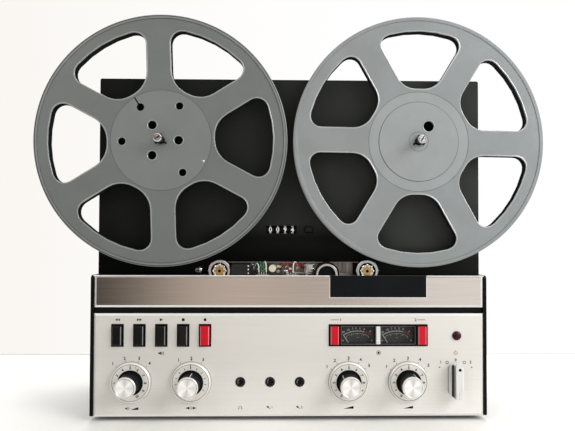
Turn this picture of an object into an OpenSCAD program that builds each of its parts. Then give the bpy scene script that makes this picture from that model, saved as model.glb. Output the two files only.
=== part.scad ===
// Open-reel tape recorder: two large reels on a black deck above a brushed control panel.
// Millimetres. +Z is up, +Y points to the back, and the origin lies on the floor under the middle.
// Heights in the settings are measured from the underside of the case, widths from its middle.

/* [Body] */
// Width across the end cheeks
body_w = 412; // [404:1:430]
// Height of the case without its feet
body_h = 356; // [350:1:380]
// Depth from the control panel to the rear rim
body_d = 180; // [174:1:220]
// Thickness of the case walls
wall = 3; // [2:0.5:4]
// Thickness of the deck plate and the rear panel
sheet_t = 2; // [1.5:0.5:3]
// Radius on the long edges of the case
edge_r = 2; // [1:0.5:4]
// How much narrower the case is than the cheeks, each side
deck_inset = 1; // [0.5:0.5:2]
// How far the deck lies behind the control panel
deck_set_back = 22; // [22:1:28]
// Depth of the rim around the rear panel
rear_rim = 9; // [8.5:0.5:14]
// Height of a rubber foot
foot_h = 5; // [3:0.5:10]
// Diameter of a rubber foot
foot_d = 22; // [16:1:30]
// Distance of a foot from the edges of the case
foot_inset = 28; // [20:1:50]

/* [Lower front] */
// Height of the front above the panel, flap included
front_h = 39.5; // [38:0.5:44]
// Height of the control panel
panel_h = 106; // [104:0.5:108]
// Height of the head cover flap
flap_h = 33; // [31:0.5:34]
// Thickness of the control panel
panel_t = 3; // [2.5:0.5:4]
// Thickness of the flap
flap_t = 2.5; // [2.2:0.1:3]
// Depth of the lip along the top of the flap
flap_lip = 2; // [1:0.1:2.2]
// Width of the polished bevels
bevel_w = 2.2; // [1:0.1:3]
// Depth of the polished bevels
bevel_d = 0.8; // [0.4:0.1:1]
// Thickness of an end cheek
cheek_t = 3.5; // [2.5:0.5:5]
// Radius of the rounded front corners of the cheeks
cheek_r = 4; // [2:0.5:6]
// Thickness of the shelf above the flap
shelf_t = 2; // [1.5:0.5:3]
// Half the width of the opening in the shelf
shelf_open = 97; // [96:1:110]
// Depth of the bar behind the gap under the flap
crossbar_d = 6; // [4:0.5:8]
// Radius of a hinge pin of the flap
hinge_r = 0.8; // [0.6:0.05:0.8]
// Length of a hinge pin in its cheek
hinge_len = 1.8; // [1.2:0.1:2]
// Height of the hinge axis above the lower edge of the flap
hinge_up = 2.4; // [2:0.1:4]

/* [Reels] */
// Diameter of both reels
reel_d = 266; // [258:1:267]
// Gap between the two reels
reel_gap = 6; // [4:0.5:10]
// Gap between a reel and the top of the lower front
reel_clear = 8.5; // [8.5:0.5:14]
// Thickness of a reel
reel_t = 11.2; // [10:0.1:12]
// Distance of a reel from the deck
reel_lift = 6; // [5.5:0.5:8]
// Thickness of a flange
flange_t = 1.5; // [1:0.1:2]
// Width of the rolled rim of a flange
rim_w = 4.5; // [3:0.5:7]
// Height of the rolled rim above the flange
rim_bead = 0.4; // [0.2:0.1:0.6]
// Step from the hub's face out to the drum
hub_shoulder = 2.4; // [1:0.1:3.2]
// Diameter of the hub's face inside the flange
hub_face_d = 105.6; // [102:0.2:106]
// Wall of the drum
hub_wall = 7; // [5:0.5:9]
// Thickness of the hub's face
hub_face_t = 2.5; // [1.5:0.1:4]
// Diameter of the boss around the centre hole
hub_boss_d = 26; // [22:0.5:26]
// Number of windows in a flange
windows = 6; // [6:1:6]
// Width of a spoke on the left reel
left_spoke_w = 26; // [18:1:30]
// Distance of the left windows from the drum
left_window_gap = 1.3; // [0.5:0.1:10]
// Outer edge of the left windows
left_window_out = 118; // [104:0.5:120]
// Inner corner radius of the left windows
left_fillet_in = 27; // [10:1:30]
// Outer corner radius of the left windows
left_fillet_out = 12; // [5:1:13]
// Turn of the left reel
left_turn = 92; // [0:1:120]
// Width of a spoke on the right reel
right_spoke_w = 27; // [24:1:34]
// Distance of the right windows from the drum
right_window_gap = 1; // [0.5:0.1:8]
// Outer edge of the right windows
right_window_out = 118; // [108:0.5:120]
// Inner corner radius of the right windows
right_fillet_in = 22; // [8:1:24]
// Outer corner radius of the right windows
right_fillet_out = 11; // [4:1:12]
// Turn of the right reel
right_turn = -1; // [-60:1:60]
// Diameter of the raised disc on the right hub
right_disc_d = 84; // [70:1:96]
// Height of the raised disc on the right hub
right_disc_t = 0.6; // [0.3:0.1:1]

/* [Spindles] */
// Diameter of a spindle
spindle_d = 7.8; // [7:0.1:8]
// Reach of a spindle in front of its reel
spindle_reach = 19; // [14:0.5:24]
// Width of a spindle's keys
spindle_key_w = 1.5; // [1:0.1:1.8]
// Radius over a spindle's keys
spindle_key_r = 6.4; // [5.5:0.1:7]
// Diameter of the spindle's tip
spindle_tip_d = 8.8; // [8.2:0.1:10]
// Length of the spindle's tip
spindle_tip_len = 5; // [3:0.5:7]
// Diameter of a reel table
table_d = 70; // [60:1:80]
// Thickness of a reel table
table_t = 3.2; // [2.5:0.1:3.5]
// Diameter of the boss through the deck
spindle_boss_d = 24; // [18:1:26]
// Diameter of a brake drum
drum_d = 60; // [50:1:64]
// Length of a brake drum
drum_t = 9; // [7:0.5:12]

/* [Transport keys] */
// Width of a key
key_w = 9.2; // [8:0.1:10]
// Height of a key
key_h = 19.8; // [17:0.1:21]
// Spacing of the keys
key_pitch = 22.55; // [20:0.05:23]
// Middle of the first key from the left end
key_inset = 28; // [25:0.5:30]
// Middle of the keys below the panel's top
key_z = 22.5; // [20:0.5:26]
// Reach of a key in front of the panel
key_reach = 4; // [3.5:0.1:6]
// Length of a key
key_len = 18; // [14:0.5:20]
// Travel of a key
key_travel = 3; // [2:0.1:3.2]
// Bevel around the face of a key
key_bevel = 0.8; // [0.4:0.1:1.5]
// Wall of a key's well
well_wall = 1.5; // [1:0.1:2]

/* [Meters] */
// Width of the meter frame
meter_w = 103.4; // [103:0.1:108]
// Height of the meter frame
meter_h = 22.7; // [22.4:0.1:25]
// Middle of the meter frame from the right end
meter_inset = 113.7; // [111:0.1:118]
// Middle of the meter frame below the panel's top
meter_z = 22.5; // [21:0.1:23.5]
// Reach of the meter frame in front of the panel
meter_reach = 0.6; // [0.3:0.1:1.5]
// Width of the bar between the dials
dial_bar = 5.4; // [4:0.1:7]
// Height of a dial
dial_h = 18.6; // [16:0.1:19]
// Gap between a dial and its record button
dial_gap = 2.7; // [2:0.1:4]
// Thickness of a meter window
glass_t = 1.5; // [1:0.1:2]
// Depth of the meter body behind the panel
meter_d = 22; // [18:0.5:24]
// Pivot of the needles below the middle of the frame
pivot_drop = 24; // [20:0.1:24]
// Length of a needle
needle_len = 28; // [24:0.1:29]
// Room between a needle at rest and the side of its dial
needle_room = 1.75; // [1.2:0.05:3]
// Width of a record button
select_w = 8.4; // [7.6:0.1:8.6]
// Height of a record button
select_h = 19; // [17:0.1:19.2]
// Distance of a record button from the end of the frame
select_margin = 1.9; // [1.5:0.1:3]
// Reach of a record button in front of the panel
select_reach = 3.5; // [2.5:0.1:5]
// Travel of a record button
select_travel = 2.2; // [1.5:0.1:2.4]

/* [Knobs] */
// Middle of the knobs below the panel's top
knob_z = 70.5; // [70:0.1:71.5]
// Middle of the volume knob from the left end
volume_inset = 42.6; // [40:0.1:45]
// Middle of the balance knob from the left end
balance_inset = 104.3; // [102:0.1:107]
// Middle of the left level knob from the right end
level_left_inset = 144.7; // [142:0.1:147]
// Middle of the right level knob from the right end
level_right_inset = 82.7; // [80:0.1:85]
// Diameter of a knob
knob_d = 21.3; // [18:0.1:24]
// Reach of a knob in front of the panel
knob_h = 26.8; // [22:0.1:30]
// Length of a knob's turned cap
knob_cap = 2.6; // [1.5:0.1:4]
// Diameter of a selector ring
ring_d = 41; // [36:0.1:44]
// Thickness of a selector ring
ring_t = 4.2; // [3:0.1:6]
// Diameter of a knob's shaft
shaft_d = 6; // [5:0.1:6.5]
// Diameter of a selector's hollow shaft
ring_shaft_d = 10; // [9:0.1:11]
// Diameter of a rotary control
control_d = 28; // [24:0.5:29]
// Length of a rotary control
control_len = 24; // [20:0.5:25]
// Middle of the power knob from the right end
power_inset = 32.7; // [30:0.1:35]
// Middle of the power knob below the panel's top
power_z = 68.5; // [66:0.1:71]
// Length of the power knob
power_len = 35; // [30:0.5:37]
// Width of the power knob's foot
power_w = 16; // [14:0.5:18]
// Width of the power knob's grip
power_grip_w = 7.8; // [6:0.1:9]
// Reach of the power knob in front of the panel
power_reach = 15; // [12:0.5:20]

/* [Sockets and lamp] */
// Middle of the first jack
jack_first_x = -51; // [-54:0.5:-50]
// Spacing of the jacks
jack_pitch = 30.75; // [28:0.25:32]
// Middle of the jacks below the panel's top
jack_z = 70.6; // [68:0.1:73]
// Diameter of a jack's bush
jack_d = 10.2; // [9:0.1:12]
// Bore of a jack
jack_bore = 6.5; // [6.3:0.1:6.7]
// Depth of a jack's bore
jack_depth = 20; // [16:0.5:21]
// Width of a jack's body
jack_body_w = 15; // [14:0.5:18]
// Middle of the lamp from the right end
lamp_inset = 31.6; // [28:0.1:36]
// Middle of the lamp below the panel's top
lamp_z = 23; // [20:0.1:26]
// Diameter of the lamp's lens
lamp_d = 9.4; // [8:0.1:12]

/* [Counter] */
// Middle of the number wheels
counter_x = -9.2; // [-11:0.1:-8]
// Height of the counter above the panel
counter_z = 87.5; // [84:0.5:91]
// Spacing of the number wheels
wheel_pitch = 7.95; // [7.8:0.05:8.4]
// Diameter of a number wheel
wheel_d = 18; // [16:0.5:20]
// Gap between two number wheels
wheel_gap = 0.7; // [0.5:0.1:1]
// Height of the counter's window
counter_h = 8.2; // [7:0.1:9]
// Middle of the reset button
reset_x = 20.4; // [20:0.1:22]
// Width of the reset button
reset_w = 8.2; // [7:0.1:8.4]
// Height of the reset button
reset_h = 6; // [5:0.1:7]
// Reach of the reset button in front of the deck
reset_reach = 2.5; // [2.4:0.1:4]
// Travel of the reset button
reset_travel = 2; // [1:0.1:2.1]
// Diameter of the counter's pulley
pulley_d = 18; // [14:0.5:20]
// Width of a pulley
pulley_w = 5; // [4:0.1:6]
// Diameter of the pulley on the take-up spindle
drive_pulley_d = 26; // [20:0.5:30]

/* [Tape path] */
// Left end of the notch in the deck
notch_left = -62.5; // [-63:0.5:-62]
// Right end of the notch in the deck
notch_right = 68; // [67:0.5:69]
// Top of the notch in the deck above the panel
notch_z = 52; // [51:0.5:56]
// Left guide roller
roller_left_x = -74; // [-75:0.1:-73]
// Right guide roller
roller_right_x = 81.7; // [81:0.1:83]
// Height of the guide rollers above the panel
roller_z = 43.75; // [42:0.25:44]
// Diameter of a guide roller
roller_d = 23.6; // [21:0.1:24]
// Length of a guide roller
roller_len = 9.6; // [8:0.1:9.8]
// Wall of a guide roller
roller_wall = 2.9; // [2:0.1:3]
// Diameter of a guide roller's post
post_d = 8; // [7:0.1:8.2]
// Balls in a guide roller's race
race_balls = 8; // [6:1:9]
// Pinch roller
pinch_x = 38.9; // [38:0.1:40]
// Height of the pinch roller above the panel
pinch_z = 40.1; // [39:0.1:41]
// Diameter of the pinch roller
pinch_d = 26.4; // [24:0.1:27]
// Length of the pinch roller
pinch_len = 10.4; // [9:0.1:10.8]
// Pivot of the pinch arm
pinch_pivot_x = 61; // [60:0.1:62]
// Height of the pivot of the pinch arm above the panel
pinch_pivot_z = 35; // [34:0.1:36]
// Swing of the pinch arm
pinch_swing = 8; // [4:0.5:9]
// Diameter of the capstan
capstan_d = 8; // [6:0.1:9]
// Lower edge of the head block above the panel
block_low_z = 7; // [6.5:0.5:9]
// Middle of the record head
record_head_x = -29; // [-30:0.5:-28]
// Middle of the playback head
playback_head_x = 2; // [0:0.5:4]
// Width of a head
head_w = 14; // [12:0.5:15]
// Lower edge of a head above the panel
head_low_z = 25; // [24:0.5:28]
// Top of a head above the panel
head_top_z = 40; // [38:0.5:41]
// Middle of the shielded head
shield_x = -51.5; // [-51.8:0.1:-51]
// Width of the shielded head
shield_w = 20; // [18:0.5:20.5]
// Top of the shielded head above the panel
shield_top_z = 50.6; // [48:0.1:51]
// Diameter of a head wire
wire_d = 1.4; // [1:0.1:1.6]

/* [Drive] */
// Gap between the deck and the chassis
chassis_gap = 7; // [7:0.5:9]
// Thickness of the chassis plate
chassis_t = 5; // [4:0.5:6]
// Diameter of a reel motor
reel_motor_d = 90; // [84:1:96]
// Length of a reel motor
reel_motor_len = 56; // [45:1:60]
// Diameter of a motor pillar
pillar_d = 8; // [6:0.5:9]
// Diameter of the capstan motor
capstan_motor_d = 84; // [76:1:84]
// Length of the capstan motor
capstan_motor_len = 66; // [55:1:70]
// Diameter of the flywheel
flywheel_d = 78; // [60:1:80]
// Thickness of the flywheel
flywheel_t = 10; // [6:0.5:12]
// Height of the brake bar
brake_bar_h = 12; // [11.5:0.5:14]
// Travel of the brake bar
brake_travel = 2.5; // [1.5:0.1:3]
// Length of a brake pad
pad_w = 20; // [14:1:24]
// Middle of the brake solenoid
solenoid_x = -48; // [-60:1:-46]
// Width and height of a solenoid
solenoid_size = 28; // [22:1:30]
// Diameter of a solenoid's plunger
plunger_d = 8; // [6:0.5:10]

/* [Inside and rear] */
// Width of the power transformer
transformer_w = 84; // [70:1:90]
// Depth of the power transformer
transformer_d = 60; // [50:1:66]
// Height of the power transformer
transformer_h = 66; // [56:1:72]
// Number of plug-in boards
boards = 5; // [3:1:6]
// Height of a plug-in board
board_h = 56; // [40:1:60]
// Thickness of a board
board_t = 1.6; // [1.2:0.1:2]
// Number of vent slots
vents = 20; // [12:1:22]
// Height of a vent slot
vent_h = 46; // [30:1:60]
// Number of line sockets in a row
line_sockets = 4; // [2:1:5]
// Bore of a line socket
line_bore = 3.4; // [3.2:0.1:3.6]

/* [Fits] */
// Running clearance of shafts, on the radius
run_gap = 0.05; // [0.03:0.01:0.08]
// Clearance around sliding pieces
slide_gap = 0.3; // [0.3:0.05:0.4]
// Clearance between pieces that pass each other
pass_gap = 0.5; // [0.4:0.05:0.6]
// Clearance around fixed pieces set in a cut-out
seat_gap = 0.1; // [0.05:0.05:0.2]

/* [Hidden] */
$fn = 64;
arc_steps = 6;
eps = 0.01;

// Planes from front to back
total_d = knob_h + body_d;
panel_y = knob_h - total_d / 2;
panel_back = panel_y + panel_t;
deck_y = panel_y + deck_set_back;
deck_back = deck_y + sheet_t;
chassis_y = deck_back + chassis_gap;
chassis_back = chassis_y + chassis_t;
rear_y = panel_y + body_d;
rear_face = rear_y - rear_rim;

// Case and lower front
base_z = foot_h;
top_z = base_z + body_h;
floor_z = base_z + wall;
case_w = body_w - 2 * deck_inset;
inner_w = case_w - 2 * wall;
bay_w = body_w - 2 * cheek_t;
panel_top = base_z + panel_h;
front_top = panel_top + front_h;
flap_low = front_top - flap_h;
flap_w = bay_w - 2 * slide_gap;
hinge_y = panel_y + bevel_d + (flap_t - bevel_d) / 2;
hinge_z = flap_low + hinge_up;
shelf_y = panel_y + flap_t + flap_lip + slide_gap;
panel_lip = 5;

// Reels and spindles
spindle_x = (reel_d + reel_gap) / 2;
spindle_z = front_top + reel_clear + reel_d / 2;
reel_back = deck_y - reel_lift;
reel_y = reel_back - reel_t;
tape_y = reel_y + reel_t / 2;
tip_y = reel_y - spindle_reach;
hub_d = hub_face_d + 2 * hub_shoulder;
left_window_in = hub_d / 2 + left_window_gap;
right_window_in = hub_d / 2 + right_window_gap;
reel_gap_r = 0.25;
big_hole_r = 18.4;
big_hole_d = 9;
small_hole_d = 8;
small_hole_r = hub_face_d / 2 - hub_wall - small_hole_d / 2 - 0.8;
right_hole_r = 19.4;
right_hole_d = 11;
slit_w = 1.4;
hub_bore_r = spindle_d / 2 + reel_gap_r;
table_back = reel_back + table_t;
drum_y = chassis_back + 1.5;
drum_end = drum_y + drum_t;
motor_shaft_r = 4;

// Counter
wheel_w = wheel_pitch - wheel_gap;
counter_row = 4 * wheel_pitch;
counter_y = deck_back + pass_gap + wheel_d / 2;
counter_plate = 2;
counter_shaft_r = 1.5;
counter_left = counter_x - counter_row / 2 - counter_plate;
counter_right = reset_x + reset_w / 2 + slide_gap + counter_plate;
counter_mid_plate = counter_x + counter_row / 2;
counter_rear = counter_y + wheel_d / 2 + pass_gap + counter_plate;
counter_half_h = wheel_d / 2 + 1;
counter_zc = panel_top + counter_z;
pulley_y = max(drum_end, counter_rear) + pass_gap;
motor_y = pulley_y + pulley_w + 4;
stub_r = 2;
groove_depth = 2;
belt_t = 1.4;
belt_w = 2;
groove_w = 3;

// Tape path
block_y = deck_back + 2;
roller_front = tape_y - roller_len / 2;
arm_t = 3;
arm_y = deck_y - pass_gap - arm_t;
arm_pin_r = 2.5;
pivot_r = 3;
capstan_r = capstan_d / 2;
pinch_gap = 0.35;
pinch_arm = [pinch_x - pinch_pivot_x, pinch_z - pinch_pivot_z];
pinch_down = turned_by(pinch_arm, pinch_swing);
capstan_x = pinch_pivot_x + pinch_down.x;
capstan_z = panel_top + pinch_pivot_z + pinch_down.y - pinch_d / 2 - capstan_r - pinch_gap;
head_x = [record_head_x, playback_head_x];
head_front = panel_y + flap_t + flap_lip + pass_gap;
head_d = 12;
head_stem_rim = 2;
pin_r = 2.2;
pin_waist = 1.5;
pin_rim = 1.5;
pin_up = 6;
tape_room = 8;
pin_x = [
  (shield_x + shield_w / 2 + record_head_x - head_w / 2) / 2,
  (record_head_x + playback_head_x) / 2,
  playback_head_x + head_w
];
wire_post_x = -18.5;
wire_post_z = 46;
wire_post_r = 3.8;
bracket_x = 18.5;
bracket_t = 3;
block_margin = 3;
terminal_y = head_front + 8.4;
wire_gap = 0.3;
terminal_r = 0.6;
terminal_len = 2;
terminals = 4;
terminal_pitch = 2.6;

// Controls
key_first_x = key_inset - body_w / 2;
knob_x = [
  volume_inset - body_w / 2, balance_inset - body_w / 2,
  body_w / 2 - level_left_inset, body_w / 2 - level_right_inset
];
power_x = body_w / 2 - power_inset;
lamp_x = body_w / 2 - lamp_inset;
meter_x = body_w / 2 - meter_inset;
select_off = meter_w / 2 - select_margin - select_w / 2;
dial_w = meter_w / 2 - select_margin - select_w - dial_gap - dial_bar / 2;
dial_off = (dial_bar + dial_w) / 2;
dial_ledge = 1;
needle_rest = asin((dial_w / 2 - dial_ledge - needle_room) / needle_len);
well_w = key_w + 2 * (slide_gap + well_wall);
well_h = key_h + 2 * (slide_gap + well_wall);
key_back = panel_y - key_reach + key_len;
key_block_back = key_back + key_travel + pass_gap + 2;
ring_y = panel_y - pass_gap - ring_t;
knob_y = panel_y - knob_h;
shaft_in = 16;
shaft_end = panel_back + shaft_in;
ring_shaft_in = 7;
ring_shaft_end = panel_back + ring_shaft_in;
pivot_z = panel_top - meter_z - pivot_drop;
dial_y = panel_back + 6;
meter_back = panel_back + meter_d;
needle_below = 7;
meter_border = 2;
meter_low = pivot_z - needle_below - 1;
meter_top = panel_top - meter_z + meter_h / 2 + meter_border;
select_len = 14;
select_back = panel_y - select_reach + select_len;
glass_y = panel_y + 0.3;
jack_xs = [for (i = [0 : 2]) jack_first_x + i * jack_pitch];

// Drive
pillar_off = reel_motor_d / 2 - pillar_d / 2;
pillar_angles = [0, 90, 180];
brake_y = drum_y + 0.5;
brake_t = drum_t - 1;
pad_top = spindle_z - drum_d / 2;
pad_h = 8;
brake_z = pad_top - pad_h - brake_bar_h / 2;
brake_pin_x = 88;
brake_pin_r = 2;
plunger_len = 20;
brake_solenoid_top = brake_z - brake_bar_h / 2 - brake_travel - 2;
capstan_rear = chassis_back + capstan_motor_len;

// Inside and rear
transformer_inset = 28;
transformer_gap = 16;
yoke = 14;
board_left = 150;
board_right = 20;
board_front = 12;
board_back = 22;
board_edge = 8;
spacer_r = 3;
spacer_h = 8;
socket_x = 40;
socket_z = 40;
socket_pitch = 20;
socket_len = 7.5;
inlet_x = -100;
inlet_z = 36;
inlet_w = 34;
inlet_h = 24;
inlet_wall = 3.5;
inlet_r = 3;

// Turns a plane vector by an angle
function turned_by(v, a) = [v.x * cos(a) - v.y * sin(a), v.x * sin(a) + v.y * cos(a)];

// Unit vector
function unit(v) = v / norm(v);

// Plane vector of length r at an angle
function polar(r, a) = r * [cos(a), sin(a)];

// Corner p1 between p0 and p2 of a convex outline, rounded to radius r
function round_corner(p0, p1, p2, r) =
  let (
    u = unit(p0 - p1),
    v = unit(p2 - p1),
    half = acos(u * v) / 2,
    c = p1 + unit(u + v) * r / sin(half),
    start = p1 + u * r / tan(half) - c,
    a = atan2(start.y, start.x)
  )
  [for (i = [0 : arc_steps]) c + polar(r, a + (180 - 2 * half) * i / arc_steps)];

// Convex outline, counter-clockwise, with its own radius at each corner
function rounded(pts, radii) =
  let (n = len(pts))
  [for (i = [0 : n - 1])
    each radii[i] == 0
      ? [pts[i]]
      : round_corner(pts[(i + n - 1) % n], pts[i], pts[(i + 1) % n], radii[i])];

// Rectangle about a middle, with rounded corners
function rounded_box(x, z, w, h, r) =
  rounded(
    [[x - w / 2, z - h / 2], [x + w / 2, z - h / 2], [x + w / 2, z + h / 2], [x - w / 2, z + h / 2]],
    [r, r, r, r]
  );

// Stepped profile for turning: each step is a radius and the depth where it ends
function stepped(inner, y0, steps) =
  concat(
    [[inner, y0]],
    [for (i = [0 : len(steps) - 1])
      each [[steps[i][0], i == 0 ? y0 : steps[i - 1][1]], [steps[i][0], steps[i][1]]]],
    [[inner, steps[len(steps) - 1][1]]]
  );

// Flange window between two spokes, symmetric about the X axis
function window_outline(spoke_w, inner, outer, fillet_in, fillet_out) =
  let (
    half = 180 / windows,
    s = spoke_w / 2,
    inner_half = (inner - s * sin(half)) * tan(half) - s * cos(half),
    t = sqrt(outer * outer - s * s),
    corner = [t * cos(half) + s * sin(half), t * sin(half) - s * cos(half)],
    a = atan2(corner.y, corner.x),
    step = a / arc_steps,
    arc = [for (i = [1 : arc_steps - 1]) polar(outer, 2 * step * i - a)],
    room = 0.98,
    in_r = min(fillet_in, room * inner_half * tan(45 + half / 2)),
    out_r = min(fillet_out, room * 2 * outer * sin(step) * tan((90 - half + a - step) / 2))
  )
  rounded(
    concat([[inner, -inner_half], [corner.x, -corner.y]], arc, [corner, [inner, inner_half]]),
    concat([in_r, out_r], [for (p = arc) 0], [out_r, in_r])
  );

// Loop of a belt around two pulleys
function belt_loop(c1, r1, c2, r2) =
  let (
    d = c2 - c1,
    a = atan2(d.y, d.x),
    b = acos((r1 - r2) / norm(d)),
    n = 16
  )
  concat(
    [for (i = [0 : n]) c1 + polar(r1, a + b + (360 - 2 * b) * i / n)],
    [for (i = [0 : n]) c2 + polar(r2, a - b + 2 * b * i / n)]
  );

// Extrudes an outline in X and Z from depth y towards the back
module slab(y, depth) {
  translate([0, y + depth, 0])
    rotate([90, 0, 0])
      linear_extrude(depth)
        children();
}

// Extrudes an outline in Y and Z along X
module along_x(x, length) {
  translate([x, 0, 0])
    rotate([90, 0, 90])
      linear_extrude(length)
        children();
}

// Turns an outline of radius and depth about an axis along Y
module turned(x, z) {
  translate([x, 0, z])
    rotate([-90, 0, 0])
      rotate_extrude()
        children();
}

// Cylinder along Y from depth y
module rod(x, y, z, r, length) {
  translate([x, y, z])
    rotate([-90, 0, 0])
      cylinder(r = r, h = length);
}

// Cylinder along X
module rod_x(x, y, z, r, length) {
  translate([x, y, z])
    rotate([0, 90, 0])
      cylinder(r = r, h = length);
}

// Box between two corners
module block(lo, hi) {
  translate(lo)
    cube(hi - lo);
}

// Rectangle about a middle
module rect(x, z, w, h) {
  translate([x - w / 2, z - h / 2])
    square([w, h]);
}

// Plate with its front edges bevelled: middle x, front y, lower edge z
module bevelled(x, y, z, w, h, t, bw, bd) {
  intersection() {
    along_x(x - w / 2, w)
      polygon([[y + t, z], [y + bd, z], [y, z + bw], [y, z + h - bw], [y + bd, z + h], [y + t, z + h]]);
    translate([0, 0, z])
      linear_extrude(h)
        polygon([
          [x - w / 2, y + t], [x - w / 2, y + bd], [x - w / 2 + bw, y],
          [x + w / 2 - bw, y], [x + w / 2, y + bd], [x + w / 2, y + t]
        ]);
  }
}

// Outside shell of the case, open at the front and back
module case_shell() {
  depth = rear_y - deck_back;
  color("#1b1c1c")
    difference() {
      slab(deck_back, depth)
        polygon(rounded_box(0, base_z + body_h / 2, case_w, body_h, edge_r));
      slab(deck_back - eps, depth + 2 * eps)
        rect(0, base_z + body_h / 2, inner_w, body_h - 2 * wall);
    }
}

// Rear panel with its vents and the holes of the sockets
module rear_panel() {
  vent_pitch = inner_w * 0.8 / vents;
  vent_z = top_z - wall - 16 - vent_h / 2;
  color("#232425")
    difference() {
      slab(rear_face - sheet_t, sheet_t)
        rect(0, base_z + body_h / 2, inner_w, body_h - 2 * wall);
      slab(rear_face - sheet_t - eps, sheet_t + 2 * eps)
        for (i = [0 : vents - 1])
          polygon(
            rounded_box(
              (i - (vents - 1) / 2) * vent_pitch,
              vent_z,
              vent_pitch * 0.4,
              vent_h,
              vent_pitch * 0.19
            )
          );
    }
}

// Cast chassis behind the deck, with legs, deck bosses, motor pillars and brake pins
module main_chassis() {
  low = panel_top + block_low_z - 2;
  leg_w = 16;
  boss_r = 5;
  boss_x = inner_w / 2 - 12;
  color("#8e9194") {
    difference() {
      union() {
        block([-inner_w / 2, chassis_y, low], [inner_w / 2, chassis_back, top_z - wall]);
        for (s = [-1, 1]) {
          block(
            [s > 0 ? inner_w / 2 - leg_w : -inner_w / 2, chassis_y, floor_z],
            [s > 0 ? inner_w / 2 : leg_w - inner_w / 2, chassis_back, low + eps]
          );
          for (z = [front_top + 14, top_z - wall - 14])
            rod(s * boss_x, deck_back, z, boss_r, chassis_gap + eps);
          for (a = pillar_angles)
            rod(
              s * spindle_x + pillar_off * cos(a),
              chassis_back - eps,
              spindle_z + pillar_off * sin(a),
              pillar_d / 2,
              motor_y - chassis_back + eps
            );
          rod(
            s * brake_pin_x,
            chassis_back - eps,
            brake_z,
            brake_pin_r,
            brake_y + brake_t + 1 - chassis_back
          );
        }
      }
      for (s = [-1, 1])
        rod(s * spindle_x, chassis_y - eps, spindle_z, spindle_boss_d / 2 + 3, chassis_t + 2 * eps);
      rod(capstan_x, chassis_y - eps, capstan_z, capstan_r + 2, chassis_t + 2 * eps);
      block(
        [counter_left - 1, chassis_y - eps, counter_zc - counter_half_h - 1],
        [counter_right + 1, chassis_back + eps, counter_zc + counter_half_h + 1]
      );
    }
  }
}

// Black deck plate with its notch, spindle holes and counter window
module deck_plate() {
  color("#161717")
    difference() {
      slab(deck_y, sheet_t)
        polygon(rounded(
          [[-case_w / 2, front_top], [case_w / 2, front_top], [case_w / 2, top_z], [-case_w / 2, top_z]],
          [0, 0, edge_r, edge_r]
        ));
      slab(deck_y - eps, sheet_t + 2 * eps) {
        for (s = [-1, 1])
          translate([s * spindle_x, spindle_z])
            circle(r = spindle_boss_d / 2 + 2);
        for (x = [roller_left_x, roller_right_x])
          translate([x, panel_top + roller_z])
            circle(r = post_d / 2 + seat_gap);
        polygon(rounded(
          [
            [notch_left, front_top - 1], [notch_right, front_top - 1],
            [notch_right, panel_top + notch_z], [notch_left, panel_top + notch_z]
          ],
          [0, 0, 2, 2]
        ));
        rect(counter_x, counter_zc, counter_row + 1.2, counter_h);
        rect(reset_x, counter_zc, reset_w + 2 * slide_gap, reset_h + 2 * slide_gap);
      }
    }
}

// Black surround of the lower front: cheeks, shelf, crossbar and sill
module front_surround() {
  sill = 3;
  color("#141515")
    difference() {
      union() {
        for (s = [-1, 1])
          along_x(s > 0 ? bay_w / 2 : -body_w / 2, cheek_t)
            polygon(rounded(
              [[panel_y, base_z], [deck_back, base_z], [deck_back, front_top], [panel_y, front_top]],
              [cheek_r / 2, 0, 0, cheek_r]
            ));
        difference() {
          block(
            [-bay_w / 2 - eps, shelf_y, front_top - shelf_t],
            [bay_w / 2 + eps, deck_back, front_top]
          );
          block(
            [-shelf_open, shelf_y - eps, front_top - shelf_t - eps],
            [shelf_open, deck_back + eps, front_top + eps]
          );
        }
        block(
          [-bay_w / 2 - eps, panel_back, panel_top - panel_lip],
          [bay_w / 2 + eps, panel_back + crossbar_d, flap_low - pass_gap]
        );
        block([-bay_w / 2 - eps, panel_back, base_z], [bay_w / 2 + eps, deck_back, base_z + sill]);
        block(
          [-bay_w / 2 - eps, panel_back, base_z],
          [bay_w / 2 + eps, panel_back + sill, base_z + panel_lip]
        );
      }
      for (s = [-1, 1])
        rod_x(
          s > 0 ? bay_w / 2 - eps : -bay_w / 2 - hinge_len - slide_gap,
          hinge_y,
          hinge_z,
          hinge_r + run_gap,
          hinge_len + slide_gap + eps
        );
    }
}

// Brushed control panel with bevelled edges
module control_panel() {
  color("#d8d5cd")
    difference() {
      bevelled(0, panel_y, base_z, bay_w - 2 * seat_gap, panel_h, panel_t, bevel_w, bevel_d);
      slab(panel_y - eps, panel_t + 2 * eps) {
        for (i = [0 : 4])
          rect(key_first_x + i * key_pitch, panel_top - key_z, well_w + 2 * seat_gap, well_h + 2 * seat_gap);
        rect(meter_x, panel_top - meter_z, meter_w + 2 * seat_gap, meter_h + 2 * seat_gap);
        for (x = knob_x)
          translate([x, panel_top - knob_z])
            circle(r = ring_shaft_d / 2 + pass_gap);
        translate([power_x, panel_top - power_z])
          circle(r = shaft_d / 2 + pass_gap);
        for (x = jack_xs)
          translate([x, panel_top - jack_z])
            circle(r = jack_d / 2 + seat_gap);
        translate([lamp_x, panel_top - lamp_z])
          circle(r = lamp_d / 2 - 0.6 + seat_gap);
      }
    }
}

// Four rubber feet
module rubber_feet() {
  front = deck_back + foot_inset;
  back = rear_y - foot_inset;
  color("#101010")
    for (s = [-1, 1], y = [front, back])
      translate([s * (case_w / 2 - foot_inset), y, 0])
        cylinder(d1 = foot_d - 3, d2 = foot_d, h = foot_h);
}

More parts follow.
